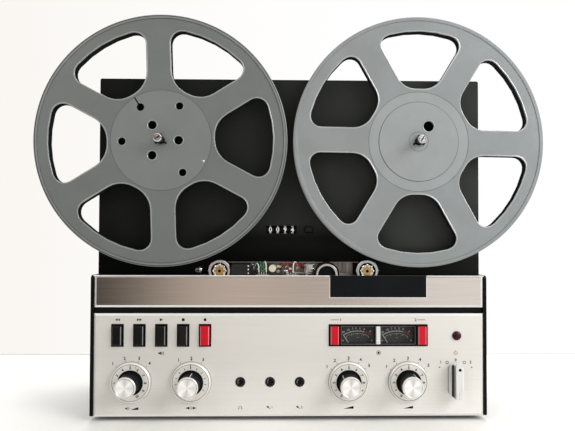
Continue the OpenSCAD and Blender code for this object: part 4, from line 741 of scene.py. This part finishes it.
def microphone(ink, x, z):
    ink.disc(x - 0.9, z + 0.5, 1)
    ink.outline(x, z, [(-0.5, -0.5), (0.1, 0.3), (1.9, -1.3), (1.6, -1.6)])


def headphones(ink, x, z):
    ink.arc(x, z - 0.4, 1.6, 0.4, -90, 90, 14)
    for s in (-1, 1):
        ink.bar(x + s * 1.5, z - 0.9, 0.8, 1.4)


def marks_by_rings(ink):
    """Numbers of the places of each selector ring, and the fine shadow round it."""
    inputs = (-55, -33, 0, 29, 52)
    shadows = Ink()
    number_r, wider, tick_r, shadow_r = 24.4, 3.6, 21.6, 20.85
    for n, turns in zip(RING_NODES, ((-45, -16, 18, 44), (-30, 0, 28), inputs, inputs)):
        c = middle(n)
        for i, turn in enumerate(turns, 1):
            r = number_r + wider * abs(sin(radians(turn)))
            ink.text(str(i), *around(c.x, c.z, r, turn), 3.3)
            ink.tick(c.x, c.z, tick_r, 1.2, 0.5, turn)
        shadows.arc(c.x, c.z, shadow_r, 0.3, n=72)
    return shadows


def marks_by_power(ink):
    """Sign above the power knob and the marks of its places."""
    x = middle("power_knob").x
    ink.arc(x, BASE + 65.2, 1.7, 0.42, 35, 325)
    ink.bar(x, BASE + 66.6, 0.42, 2.2)
    digit_h = 2.9
    ink.text("0", x, BASE + 58, digit_h)
    for digit, s in (("1", -1), ("2", 1)):
        ink.arc(x + s * 9, BASE + 55.2, 1.35, 0.6)
        ink.text(digit, x + s * 15.6, BASE + 55.6, digit_h)
        ink.outline(x + s * 16.8, BASE + 49.6, [(-1, 0), (1, 0), (0, 1.6)])


def marks_on_panel():
    """Signs and plain numbers on the panel, in the places of the printed words."""
    ink = Ink()
    shadows = marks_by_rings(ink)
    volume, balance, *levels = [middle(n).x for n in RING_NODES]
    low_z, mid_z, high_z = BASE + 8.4, BASE + 65.4, BASE + 99.5
    sign_h = 2.8
    speaker(ink, (volume + balance) / 2 - 0.45, mid_z - 0.3, 1.7)
    speaker(ink, volume - 4, low_z, 1.3)
    ink.wedge(volume + 3.6, low_z, 8, sign_h)
    ink.bar(balance, low_z + 0.3, 0.7, 3.2)
    for s in (-1, 1):
        ink.arrow(balance + s * 3.8, low_z + 0.3, s * 4.4, sign_h)
    for x in levels:
        ink.wedge(x, low_z + 0.6, 10.5, sign_h)
    headphones(ink, JACK_X[0], low_z + 0.8)
    for i, x in enumerate(JACK_X[1:], 1):
        microphone(ink, x - 1.4, low_z + 0.8)
        ink.text(str(i), x + 2.2, low_z + 0.8, 2.2)
    meter = middle("meter_housing").x
    for digit, s in (("1", -1), ("2", 1)):
        ink.text(digit, meter - 0.1 + s * 39.2, high_z, 2.9)
        ink.bar(meter - 0.1 + s * 45.2, high_z, 8.4, 0.5)
    ink.disc(meter + 0.3, mid_z, 1.25)
    ink.arc(meter + 0.3, mid_z, 2.2, 0.4)
    marks_by_power(ink)
    ink.put("signs_panel", PANEL_Y, "ink")
    shadows.put("ring_shadows", PANEL_Y, "line")


def marks_on_rings():
    """Numbers on the selector rings, of which one has plain ticks; a dark line near each ring's edge, a
    painted shade; and a dark band round each knob, a painted reflection of the knob's skirt in the ring.
    """
    number_r, tick_r, pointer_r, outline_r, skirt_r = 15.4, 14.2, 17.4, 18.75, 12
    for n in RING_NODES:
        c, front, body = middle(n), front_of(n), f"{n}_body"
        ink = Ink().tick(c.x, c.z, pointer_r, 1.5, 0.6, 0)
        if n == "mode_ring":
            for turn in range(-120, 121, 24):
                ink.tick(c.x, c.z, tick_r, 2.2 if turn else 3, 0.5 if turn else 0.9, turn)
        else:
            for k, turn in enumerate(range(-150, 151, 30)):
                ink.text(str(k), *around(c.x, c.z, number_r, turn), 2.8, turn)
        ink.put(f"numbers_{n}", front, "ink", body)
        # Dark line near the ring's edge: painted shade
        Ink().arc(c.x, c.z, outline_r, 0.55, n=72).put(f"outline_{n}", front, "line", body)
        # Dark band round the knob: a painted reflection of the knob in the ring
        Ink().arc(c.x, c.z, skirt_r, 2.2, n=60).put(f"skirt_{n}", front, "charcoal", body)


def knob_faces():
    """Turned faces of the knobs with concentric grooves, and a pointer line along the side."""
    rings, sides = 26, 72
    face_r, dish, groove = 9, 0.13, 0.012
    side_r, half_line = 10.47, 0.35
    for n, turn in zip(KNOB_NODES, (-35, 10, -40, 25)):
        c, front, body = middle(n), front_of(n), f"{n}_body"
        shape = bmesh.new()
        rows = []
        for k in range(rings, 0, -1):
            r = face_r * k / rings
            depth = dish * (1 - (k / rings) ** 2) + groove * (k % 2)
            rows.append([shape.verts.new((r * u * MM, r * v * MM, -depth * MM)) for u, v in circle(sides)])
        skin(shape, rows)
        centre = shape.verts.new((0, 0, -dish * MM))
        for j in range(sides):
            shape.faces.new((centre, rows[-1][j], rows[-1][(j + 1) % sides])).smooth = True
        place = Matrix.Translation(Vector((c.x, front + 0.1, c.z)) * MM)
        upright = Matrix.Rotation(pi / 2, 4, "X")
        # The cap's material carries painted highlights in lighter and darker sectors
        piece(f"cap_{n}", mesh_of(f"cap_{n}", shape), body, "spun", place @ upright)
        # Pointer line: a strip laid into the side of the knob
        x, z = around(c.x, c.z, side_r, turn)
        u, v = around(0, 0, half_line, turn + 90)
        ends = (front + 3.4, PANEL_Y - 6.9)
        verts = [Vector((x + k * u, y, z + k * v)) * MM for y in ends for k in (-1, 1)]
        line = bpy.data.meshes.new(f"pointer_{n}")
        line.from_pydata(verts, [], [(0, 1, 3, 2)])
        piece(f"pointer_{n}", line, body, "ink_white")


def meter_faces():
    """Scales, numbers, window frames and the strip between the dials."""
    low, high = box("meter_windows")
    mid = middle("meter_windows")
    half_w, pivot = 18, mid.z - 24
    scale_r, number_r, line_r, dot_r = 27, 29.9, 24.4, 23.5
    start, red_from, end = -33, 14, 33
    for side, x in (("left", low.x + half_w), ("right", high.x - half_w)):
        ink, red = Ink(), Ink()
        ink.arc(x, pivot, scale_r, 0.7, start, red_from, 20)
        red.arc(x, pivot, scale_r, 0.9, red_from, end, 10)
        for drawn, turns in ((ink, (start, -24, -16, -8, 0, 7, red_from)), (red, (20, 26, end))):
            for turn in turns:
                drawn.tick(x, pivot, scale_r, 1.3, 0.35, turn)
        for words, turn in (("20", -30), ("10", -19), ("7", -10), ("5", -3), ("3", 5), ("0", 14), ("3", 27)):
            ink.text(words, *around(x, pivot, number_r, turn), 2.1, turn * 0.7)
        ink.arc(x, pivot, line_r, 0.22, -30, 30, 20)
        for turn in range(-30, 31, 15):
            ink.disc(*around(x, pivot, dot_r, turn), 0.38, 10)
        ink.text("-  +", x, pivot + 20.3, 1)
        for s in (-1, 1):
            ink.disc(x + s * 15.2, mid.z - 7, 0.75, 12)
        ink.put(f"scale_{side}", DIAL_Y, "ink_white", slot="needle_paint")
        red.put(f"scale_end_{side}", DIAL_Y, "ink_red", slot="key_red")
        rim = Ink().frame(x, mid.z, 36.2, 18.8, 0.35)
        rim.put(f"window_rim_{side}", low.y, "cast", slot="cast_alloy")
    strip = Ink().bar(mid.x, mid.z, 4.2, 18.6)
    strip.put("meter_strip", front_of("meter_housing"), "edge", slot="brushed_panel")


def flap_plate():
    """Bare black plate in the recess of the flap, its bright rim, and a pale line on the top edge beside it,
    a painted highlight.
    """
    low, high = box("head_cover_flap")
    x, top = middle("meter_housing").x, high.z
    w, h, line = 100.6, 22.5, 0.8
    z, half = top - h / 2, w / 2 + line + 0.1
    plate = small_plate("flap_plate", (w, 0.5, h), 0.12, (x, PANEL_Y - 0.2, z))
    piece("flap_plate", plate, "flap", "plate")
    rim = Ink().bar(x, top - h - 0.45, w + 2 * line, line)
    for s in (-1, 1):
        rim.bar(x + s * (w + line) / 2, z - 1.2, line, h - 2.4)
    rim.put("flap_plate_rim", PANEL_Y, "edge", "flap", "brushed_flap")
    corners = [v.co / MM for v in nodes["head_cover_flap"].data.vertices]
    crest = min(v.y for v in corners if v.z > top - 0.02)
    # Pale line along the crest of the flap, either side of the plate: a painted highlight
    top_edge = Ink()
    for a, b in ((low.x + 1, x - half), (x + half, high.x - 1)):
        top_edge.bar((a + b) / 2, top - line / 2, b - a, line)
    top_edge.put("flap_top_edge", crest, "white_edge", "flap", "brushed_flap", 0.6)


# Small fasteners, tags and leads
def screw_head(name, at, r, body, mat="bright", facing=-1, cross=False):
    """Domed screw head with a cut slot or cross, in mm; facing is -1 to the front, 1 to the back."""
    x, y, z = at
    dome = ((1, 0), (1, 0.35), (0.86, 0.52), (0.6, 0.6), (0.3, 0.63))
    slot_h, slot_len, slot_w = 0.635 * r, 1.2 * r, 0.24 * r
    shape = bmesh.new()
    rows = []
    for k, h in dome:
        ring = [Vector((x + k * r * u, y + facing * h * r, z + k * r * v)) for u, v in circle(32)]
        rows.append([shape.verts.new(p * MM) for p in ring])
    skin(shape, rows)
    shape.faces.new(rows[-1]).smooth = True
    bmesh.ops.recalc_face_normals(shape, faces=shape.faces[:])
    piece(name, mesh_of(name, shape), body, mat)
    cut = Ink().bar(x, z, slot_len, slot_w)
    if cross:
        cut.bar(x, z, slot_w, slot_len)
    o = cut.put(f"{name}_slot", y + facing * slot_h, "ink", body, lift=0)
    if facing > 0:
        o.data.flip_normals()


def screws():
    """Screws of the deck, the head block and the rear panel, and the pin in the left hub."""
    low = box("deck_plate")[0]
    screw_head("deck_screw", (middle("deck_plate").x - 97.6, low.y, low.z + 4), 4, "chassis", cross=True)
    block_screws = ((-7.35, -7.7, 1.5), (-7.35, -13.1, 2.5), (22.65, -5.6, 1.7), (21.85, -10.8, 2.1))
    for i, (x, z, r) in enumerate(block_screws, 1):
        screw_head(f"block_screw_{i}", on_block(x, 0, z), r, "chassis")
    hub = middle("left_reel")
    screw_head("hub_pin", (hub.x + 44.4, REEL_FACE_Y, hub.z - 22), 1.5, "supply_reel")
    low, high = box("rear_panel")
    mid_x = middle("rear_panel").x
    places = [(mid_x + x, high.y, z) for x in (-190, 0, 190) for z in (low.z + 12, high.z - 8)]
    for i, at in enumerate(places, 1):
        screw_head(f"rear_screw_{i}", at, 3.2, "chassis", "steel", 1, True)


def tube(name, points, r, mat):
    """Round wire through some points on the head block."""
    steps, sides = 6, 12
    marks = [on_block(*p) for p in (points[0], *points, points[-1])]
    path = []
    for p, q, s, t in zip(marks, marks[1:], marks[2:], marks[3:]):
        for k in range(steps):
            u = k / steps
            bend = (2 * p - 5 * q + 4 * s - t) * u ** 2 + (3 * q - p - 3 * s + t) * u ** 3
            path.append(0.5 * (2 * q + (s - p) * u + bend))
    path.append(marks[-1])
    shape = bmesh.new()
    rows = []
    for before, at, after in zip([path[0]] + path, path, path[1:] + [path[-1]]):
        way = (after - before).normalized()
        a = way.cross(Vector((0, 1, 0.01))).normalized()
        b = way.cross(a)
        rows.append([shape.verts.new((at + r * (a * u + b * v)) * MM) for u, v in circle(sides)])
    skin(shape, rows)
    for row in (rows[0], rows[-1]):
        shape.faces.new(row)
    bmesh.ops.recalc_face_normals(shape, faces=shape.faces[:])
    piece(name, mesh_of(name, shape), "chassis", mat)


def head_tags():
    """Solder tags, a clamp plate and the leads that the notch shows among the heads."""
    thick, broken = 1, 0.2
    tags = (
        (-13.75, -7.6, 6.4, 2.4, 8, 1, "ivory"),
        (-15.35, -12.8, 3.4, 2.8, -20, 1, "steel"),
        (-2.15, -9.8, 3, 2.4, 15, 1, "bright"),
        (5.65, -8.6, 4.6, 2.6, -30, 1, "ivory"),
        (17.65, -9.4, 9, 8.6, 0, 0.6, "white_edge"),
        (10.25, -14.4, 21, 1.1, 3, 0.8, "white_edge"),
        (1.05, -12.6, 2.6, 1.6, 40, 1, "bright"),
        (-42.95, -5.2, 2.2, 1, 30, 1, "bright"),
        (-41.35, -8, 1.8, 1, -30, 1, "bright"),
    )
    for i, (x, z, w, h, turn, ahead, mat) in enumerate(tags, 1):
        name = f"head_tag_{i}"
        plate = small_plate(name, (w, thick, h), broken, on_block(x, ahead, z), turn)
        piece(name, plate, "chassis", mat)
    tube("red_sleeve", [
        (-12.25, 2.4, -5.4), (-5.75, 3.8, -3.8), (2.25, 3.8, -4.6), (8.25, 3.2, -6.6), (13.25, 2, -8.4),
    ], 1.15, "wire_red")
    tube("bare_lead_1", [(-41.25, 1.8, -13.6), (-37.75, 4, -10.4), (-34.35, 2.8, -6.4)], 0.5, "bright")
    tube("bare_lead_2", [(-36.25, 2.4, -13.8), (-30.75, 4.8, -11.4), (-27.75, 3, -7.8)], 0.4, "bright")
    tube("green_lead", [(-34.25, 2.6, -4.4), (-31.75, 5, -9), (-32.75, 2.6, -14)], 0.6, "green")


def jack_contacts():
    """Bent contact that shows in the mouth of each jack."""
    for i, x in enumerate(JACK_X, 1):
        contact = Ink().arc(x, JACK_Z, 2.5, 0.4, 235, 335, 14)
        contact.put(f"jack_contact_{i}", PANEL_Y, "steel", slot="steel", lift=-0.6)


def counter_numbers():
    """Numbers round the counter wheels, bent to their rims."""
    wide, tall = 5, 5.6
    cuts = (-2.1, -1.4, -0.7, 0, 0.7, 1.4, 2.1)
    for n, shown in zip(WHEEL_NODES, (0, 0, 9, 4)):
        low, high = box(n)
        c = (low + high) / 2
        r = (high.z - low.z) / 2 + 0.05
        shape = bmesh.new()
        for d in range(10):
            verts, faces = glyph(str(d))
            flat = bmesh.new()
            made = [flat.verts.new((u * wide, v * tall, 0)) for u, v in verts]
            for f in faces:
                flat.faces.new([made[i] for i in f])
            for level in cuts:
                geom = flat.verts[:] + flat.edges[:] + flat.faces[:]
                bmesh.ops.bisect_plane(flat, geom=geom, plane_co=(0, level, 0), plane_no=(0, 1, 0))
            bent = {}
            for v in flat.verts:
                a = radians(36) * (d - shown) + v.co.y / r
                at = Vector((c.x + v.co.x, c.y - r * cos(a), c.z + r * sin(a)))
                bent[v] = shape.verts.new(at * MM)
            for f in flat.faces:
                shape.faces.new([bent[v] for v in f.verts])
            flat.free()
        for f in shape.faces:
            f.normal_update()
            mid = f.calc_center_median() / MM
            if f.normal.dot(Vector((0, mid.y - c.y, mid.z - c.z))) < 0:
                f.normal_flip()
        name = n.replace("counter_wheel", "numbers")
        piece(name, mesh_of(name, shape), f"{n}_body", "ink_white")


def small_marks():
    """Marker on the power knob, dots on the shielded head, lines on the rollers, edge above the notch."""
    low, high = box("power_knob")
    marker = Ink().disc((low.x + high.x) / 2 + 0.4, high.z - 4.6, 1.5, 24)
    marker.put("power_marker", low.y, "ink", "power_knob_body")
    dots = Ink()
    for z in (-13.5, -9.6, -6):
        dots.disc(BLOCK_X - 46.35, BLOCK_TOP + z, 0.7, 12)
    dots.put("shield_dots", front_of("tape_heads"), "ink_white", slot="needle_paint")
    for n, body in zip(GUIDE_NODES, ("guide_left", "guide_right")):
        c = middle(n)
        rings = Ink().arc(c.x, c.z, 9.35, 0.3, n=60).arc(c.x, c.z, 10.5, 0.3, n=60)
        rings.put(f"{n}_rings", front_of(n), "reel_line", body)
    c = middle("pinch_roller")
    ring = Ink().arc(c.x, c.z, 8.7, 1.1, n=60)
    ring.put("pinch_ring", front_of("pinch_roller") + 0.2, "tyre", "pinch_wheel")
    edge = Ink().bar(BLOCK_X - 1.25, BLOCK_TOP - 2.6, 148, 0.4)
    edge.put("notch_edge", front_of("deck_plate"), "cast", slot="cast_alloy")


# Edges of the reels
def loops(node, plane):
    """Closed outlines of a node's flat front face at depth plane, as lists of (x, z)."""
    edges = {}
    mesh = nodes[node].data
    for p in mesh.polygons:
        if p.normal.y > -0.99 or abs(p.center.y - plane) > 0.05 * MM:
            continue
        pts = [(round(mesh.vertices[i].co.x, 6), round(mesh.vertices[i].co.z, 6)) for i in p.vertices]
        for a, b in zip(pts, pts[1:] + pts[:1]):
            if (b, a) in edges:
                del edges[(b, a)]
            else:
                edges[(a, b)] = True
    after = dict(edges.keys())
    found = []
    while after:
        start, at = after.popitem()
        loop = [start]
        while at != start and at in after:
            loop.append(at)
            at = after.pop(at)
        found.append(loop)
    return found


def lip(name, loop, plane, profile, body, mat):
    """Rounded edge along an outline: profile is pairs of way outwards and height, in mm."""
    n, m = len(loop), len(profile)
    mid = Vector((sum(x for x, _ in loop) / n, sum(z for _, z in loop) / n))
    verts = []
    for i, (x, z) in enumerate(loop):
        (x0, z0), (x1, z1) = loop[i - 1], loop[(i + 1) % n]
        d0, d1 = Vector((x - x0, z - z0)).normalized(), Vector((x1 - x, z1 - z)).normalized()
        out = Vector((d0.y + d1.y, -d0.x - d1.x)).normalized()
        if out.dot(Vector((x, z)) - mid) < 0:
            out = -out
        k = 1 / max(0.5, cos(d0.angle(d1) / 2))
        verts += [(x + out.x * w * k * MM, plane - h * MM, z + out.y * w * k * MM) for w, h in profile]
    faces = []
    for i in range(n):
        a, b = i * m, (i + 1) % n * m
        faces += [(a + j, b + j, b + j + 1, a + j + 1) for j in range(m - 1)]
    piece(name, facing_front(name, verts, faces, smooth=True), body, mat)


def reel_lips(n, body, mat):
    """Rolled edges of a reel's windows and of the holes in its hub."""
    window = [(-0.12, -0.7), (-0.1, -0.05), (0.12, 0.18), (0.5, 0.26), (0.9, 0.18), (1.25, 0.01)]
    small_hole = [(-0.05, -0.5), (0, -0.05), (0.2, 0.09), (0.5, 0.12), (0.8, 0.02)]
    sunk_hole = [(-0.05, -1), (0, -0.05), (0.35, 0.26), (0.75, 0.5), (1, 0.5), (1.25, 0.03)]
    window_in, window_out, window_w = 54, 121, 120
    hole_in, hole_out, hole_w, sunk_out = 9, 50, 12, 30
    radius, flange_back = off_axis(n), front_of(n) + 1.6
    faces = [p for p in nodes[n].data.polygons if p.normal.y < -0.99 and p.center.y / MM < flange_back]
    for plane in sorted({round(p.center.y, 5) for p in faces}):
        for i, loop in enumerate(loops(n, plane)):
            far = [radius(Vector((x, 0, z)) / MM) for x, z in loop]
            width = (max(x for x, _ in loop) - min(x for x, _ in loop)) / MM
            if min(far) > window_in and max(far) < window_out and width < window_w:
                lip(f"{n}_window_lip_{i}", loop, plane, window, body, mat)
            elif min(far) > hole_in and max(far) < hole_out and width < hole_w:
                hole = sunk_hole if max(far) < sunk_out else small_hole
                lip(f"{n}_hole_lip_{i}", loop, plane, hole, body, mat)


def reel_edges():
    """Lips of the reels and a band on the left rim, lighter as painted highlights; dark lines on their hubs
    and rims; the slots in the spindles.
    """
    edge_r, bead_r, outer_r, disc_r, centre_r = 129, 130.35, 131.7, 42.25, 10.2
    slit_half, slit_thin, tip_r = 2.9, 0.55, 3.2
    # The lips take a grey lighter than their reel: painted highlights
    for side, body, mat, slot, edge_w, turn in (
        ("left", "supply_reel", "reel_lip", "reel_grey_dark", 0.4, 35),
        ("right", "takeup_reel", "reel_lip_light", "reel_grey_light", 0.2, 60),
    ):
        n = f"{side}_reel"
        reel_lips(n, body, mat)
        c = middle(n)
        Ink().arc(c.x, c.z, HUB_FACE_R, 0.34, n=120).put(f"{n}_lines", REEL_FACE_Y, "reel_line", body, slot)
        edge = Ink().arc(c.x, c.z, edge_r, edge_w, n=180)
        if side == "left":
            edge.arc(c.x, c.z, outer_r, 0.55, n=180)
            # Lighter band on the rim between the dark lines: painted highlight
            Ink().arc(c.x, c.z, bead_r, 2, n=180).put(f"{n}_bead", REEL_RIM_Y, "bead", body, slot)
        else:
            disc = Ink().arc(c.x, c.z, disc_r, 0.4, n=120)
            disc.put(f"{n}_disc_line", REEL_FACE_Y, "reel_line", body, slot)
            centre = Ink().arc(c.x, c.z, centre_r, 0.35, n=60)
            centre.put(f"{n}_centre_line", front_of(n), "reel_line", body, slot)
        edge.put(f"{n}_edge", REEL_RIM_Y, "reel_line", body, slot)
        spindle = f"{side}_spindle"
        mid = middle(spindle)
        slit = Ink().tick(mid.x, mid.z, -slit_half, 2 * slit_half, 2 * slit_thin, 90 - turn)
        slit.arc(mid.x, mid.z, tip_r, 0.3, n=40)
        slit.put(f"{spindle}_slit", front_of(spindle), "ink", body)


reel_edges()
marks_by_keys()
marks_on_panel()
marks_on_rings()
knob_faces()
meter_faces()
flap_plate()
screws()
head_tags()
jack_contacts()
counter_numbers()
small_marks()


# Floor, light and camera
def floor():
    """White table with a grey line along its far edge; metal doesn't mirror it."""
    side, far, line = 6, 0.266, 0.004
    mesh = bpy.data.meshes.new("floor")
    rows = (-side, far, far + line)
    mesh.from_pydata(
        [(s * side, y, 0) for y in rows for s in (-1, 1)], [], [(0, 1, 3, 2), (2, 3, 5, 4)])
    o = added("floor", mesh)
    white = shader(
        "floor_white", (0.88, 0.87, 0.845), 0.7, specular=0.2, Emission_Color=(1, 0.985, 0.955, 1),
        Emission_Strength=0.03)
    mesh.materials.append(tinted(white, (0.86, 0.85, 0.825), (0.9, 0.89, 0.865), 3))
    mesh.materials.append(grained("floor_edge", (0.33, 0.32, 0.28), (0.42, 0.41, 0.37), 0.7))
    mesh.polygons[1].material_index = 1
    o.visible_glossy = False


def lamp(name, at, aim, size, power, color=(1, 1, 1)):
    data = bpy.data.lights.new(name, "AREA")
    data.shape = "RECTANGLE"
    data.size, data.size_y = size
    data.energy = power
    data.color = color
    o = added(name, data)
    o.location = at
    o.rotation_euler = (Vector(aim) - Vector(at)).to_track_quat("-Z", "Y").to_euler()


def world():
    """A room with dark and bright zones that lights the machine, and the pale backdrop that is seen."""
    w = bpy.data.worlds.new("studio")
    bpy.context.scene.world = w
    w.use_nodes = True
    t = w.node_tree
    t.nodes.clear()
    way = split_xyz(t, new_node(t, "TexCoord").outputs["Generated"])

    def across(*stops):
        """Colours laid across the room from left to right."""
        return ramp(t, span(t, way["X"], -1, 1, 0, 1), [((x + 1) / 2, color) for x, color in stops])

    room = across(
        (-1, (0.55, 0.53, 0.5)), (-0.4, (0.02, 0.018, 0.015)), (-0.28, (0.02, 0.018, 0.015)),
        (-0.235, (0.26, 0.23, 0.195)), (-0.18, (0.62, 0.54, 0.47)), (-0.12, (0.9, 0.78, 0.69)),
        (-0.05, (0.86, 0.74, 0.66)), (0.06, (0.62, 0.555, 0.51)), (0.13, (0.8, 0.75, 0.71)),
        (0.22, (1.25, 1.24, 1.22)), (0.4, (1.2, 1.2, 1.2)), (1, (0.95, 0.95, 0.95)),
    )
    backdrop = across(
        (-0.42, (0.955, 0.925, 0.89)), (-0.2, (0.985, 0.97, 0.95)), (0.1, (1, 1, 1)), (1, (1, 1, 1)))
    # The ceiling and the table are bright
    both = new_node(t, "Mix", {"B": (1, 0.99, 0.97, 1)}, data_type="RGBA")
    t.links.new(span(t, worked(t, "ABSOLUTE", way["Z"]), 0.32, 0.55, 0, 1), both.inputs["Factor"])
    t.links.new(room, both.inputs["A"])
    light = new_node(t, "Background", {"Strength": 0.75})
    t.links.new(both.outputs["Result"], light.inputs["Color"])
    shown = new_node(t, "Background", {"Strength": 1})
    t.links.new(backdrop, shown.inputs["Color"])
    # Metal and glass mirror the backdrop where it stands, and the room on the camera's side
    ray = new_node(t, "LightPath").outputs
    mirrored = worked(t, "MAXIMUM", ray["Is Glossy Ray"], ray["Is Transmission Ray"])
    behind = span(t, way["Y"], 0, 0.2, 0, 1)
    mix = new_node(t, "MixShader")
    t.links.new(worked(t, "MAXIMUM", ray["Is Camera Ray"], times(t, mirrored, behind)), mix.inputs["Fac"])
    t.links.new(light.outputs["Background"], mix.inputs[1])
    t.links.new(shown.outputs["Background"], mix.inputs[2])
    t.links.new(mix.outputs["Shader"], new_node(t, "OutputWorld").inputs["Surface"])


def camera():
    """The photograph's own view, as fitted to it: angles in radians, lengths in pixels, place in metres."""
    yaw, pitch, roll = -0.02, 0.0236, -0.0029
    photo_w, photo_h, focal, mid_u, mid_v = 575, 431, 603.8, 298.55, 219.13
    turn = Matrix.Rotation(yaw, 3, "Z") @ Matrix.Rotation(pitch, 3, "X") @ Matrix.Rotation(roll, 3, "Y")
    right, ahead, up = turn.col
    data = bpy.data.cameras.new("camera")
    o = added("camera", data)
    pose = Matrix((right, up, -ahead)).transposed().to_4x4()
    pose.translation = (-0.00376, -0.70688, 0.19442)
    o.matrix_world = pose
    data.sensor_width = 36
    data.lens = data.sensor_width * focal / photo_w
    data.shift_x = (photo_w / 2 - mid_u) / photo_w
    data.shift_y = (mid_v - photo_h / 2) / photo_w
    data.clip_start = 0.01
    bpy.context.scene.camera = o


floor()
world()
lamp("key", (1.7, -1.3, 1.3), (0, 0, 0.2), (1.2, 1.2), 33)
lamp("fill", (-1.6, -1.9, 1.2), (0, 0, 0.2), (0.8, 0.8), 7, (1, 0.97, 0.93))
lamp("top", (0.1, 0.75, 1.8), (0, 0, 0.1), (1.6, 1), 24)
camera()
bpy.context.scene.view_settings.view_transform = "Standard"
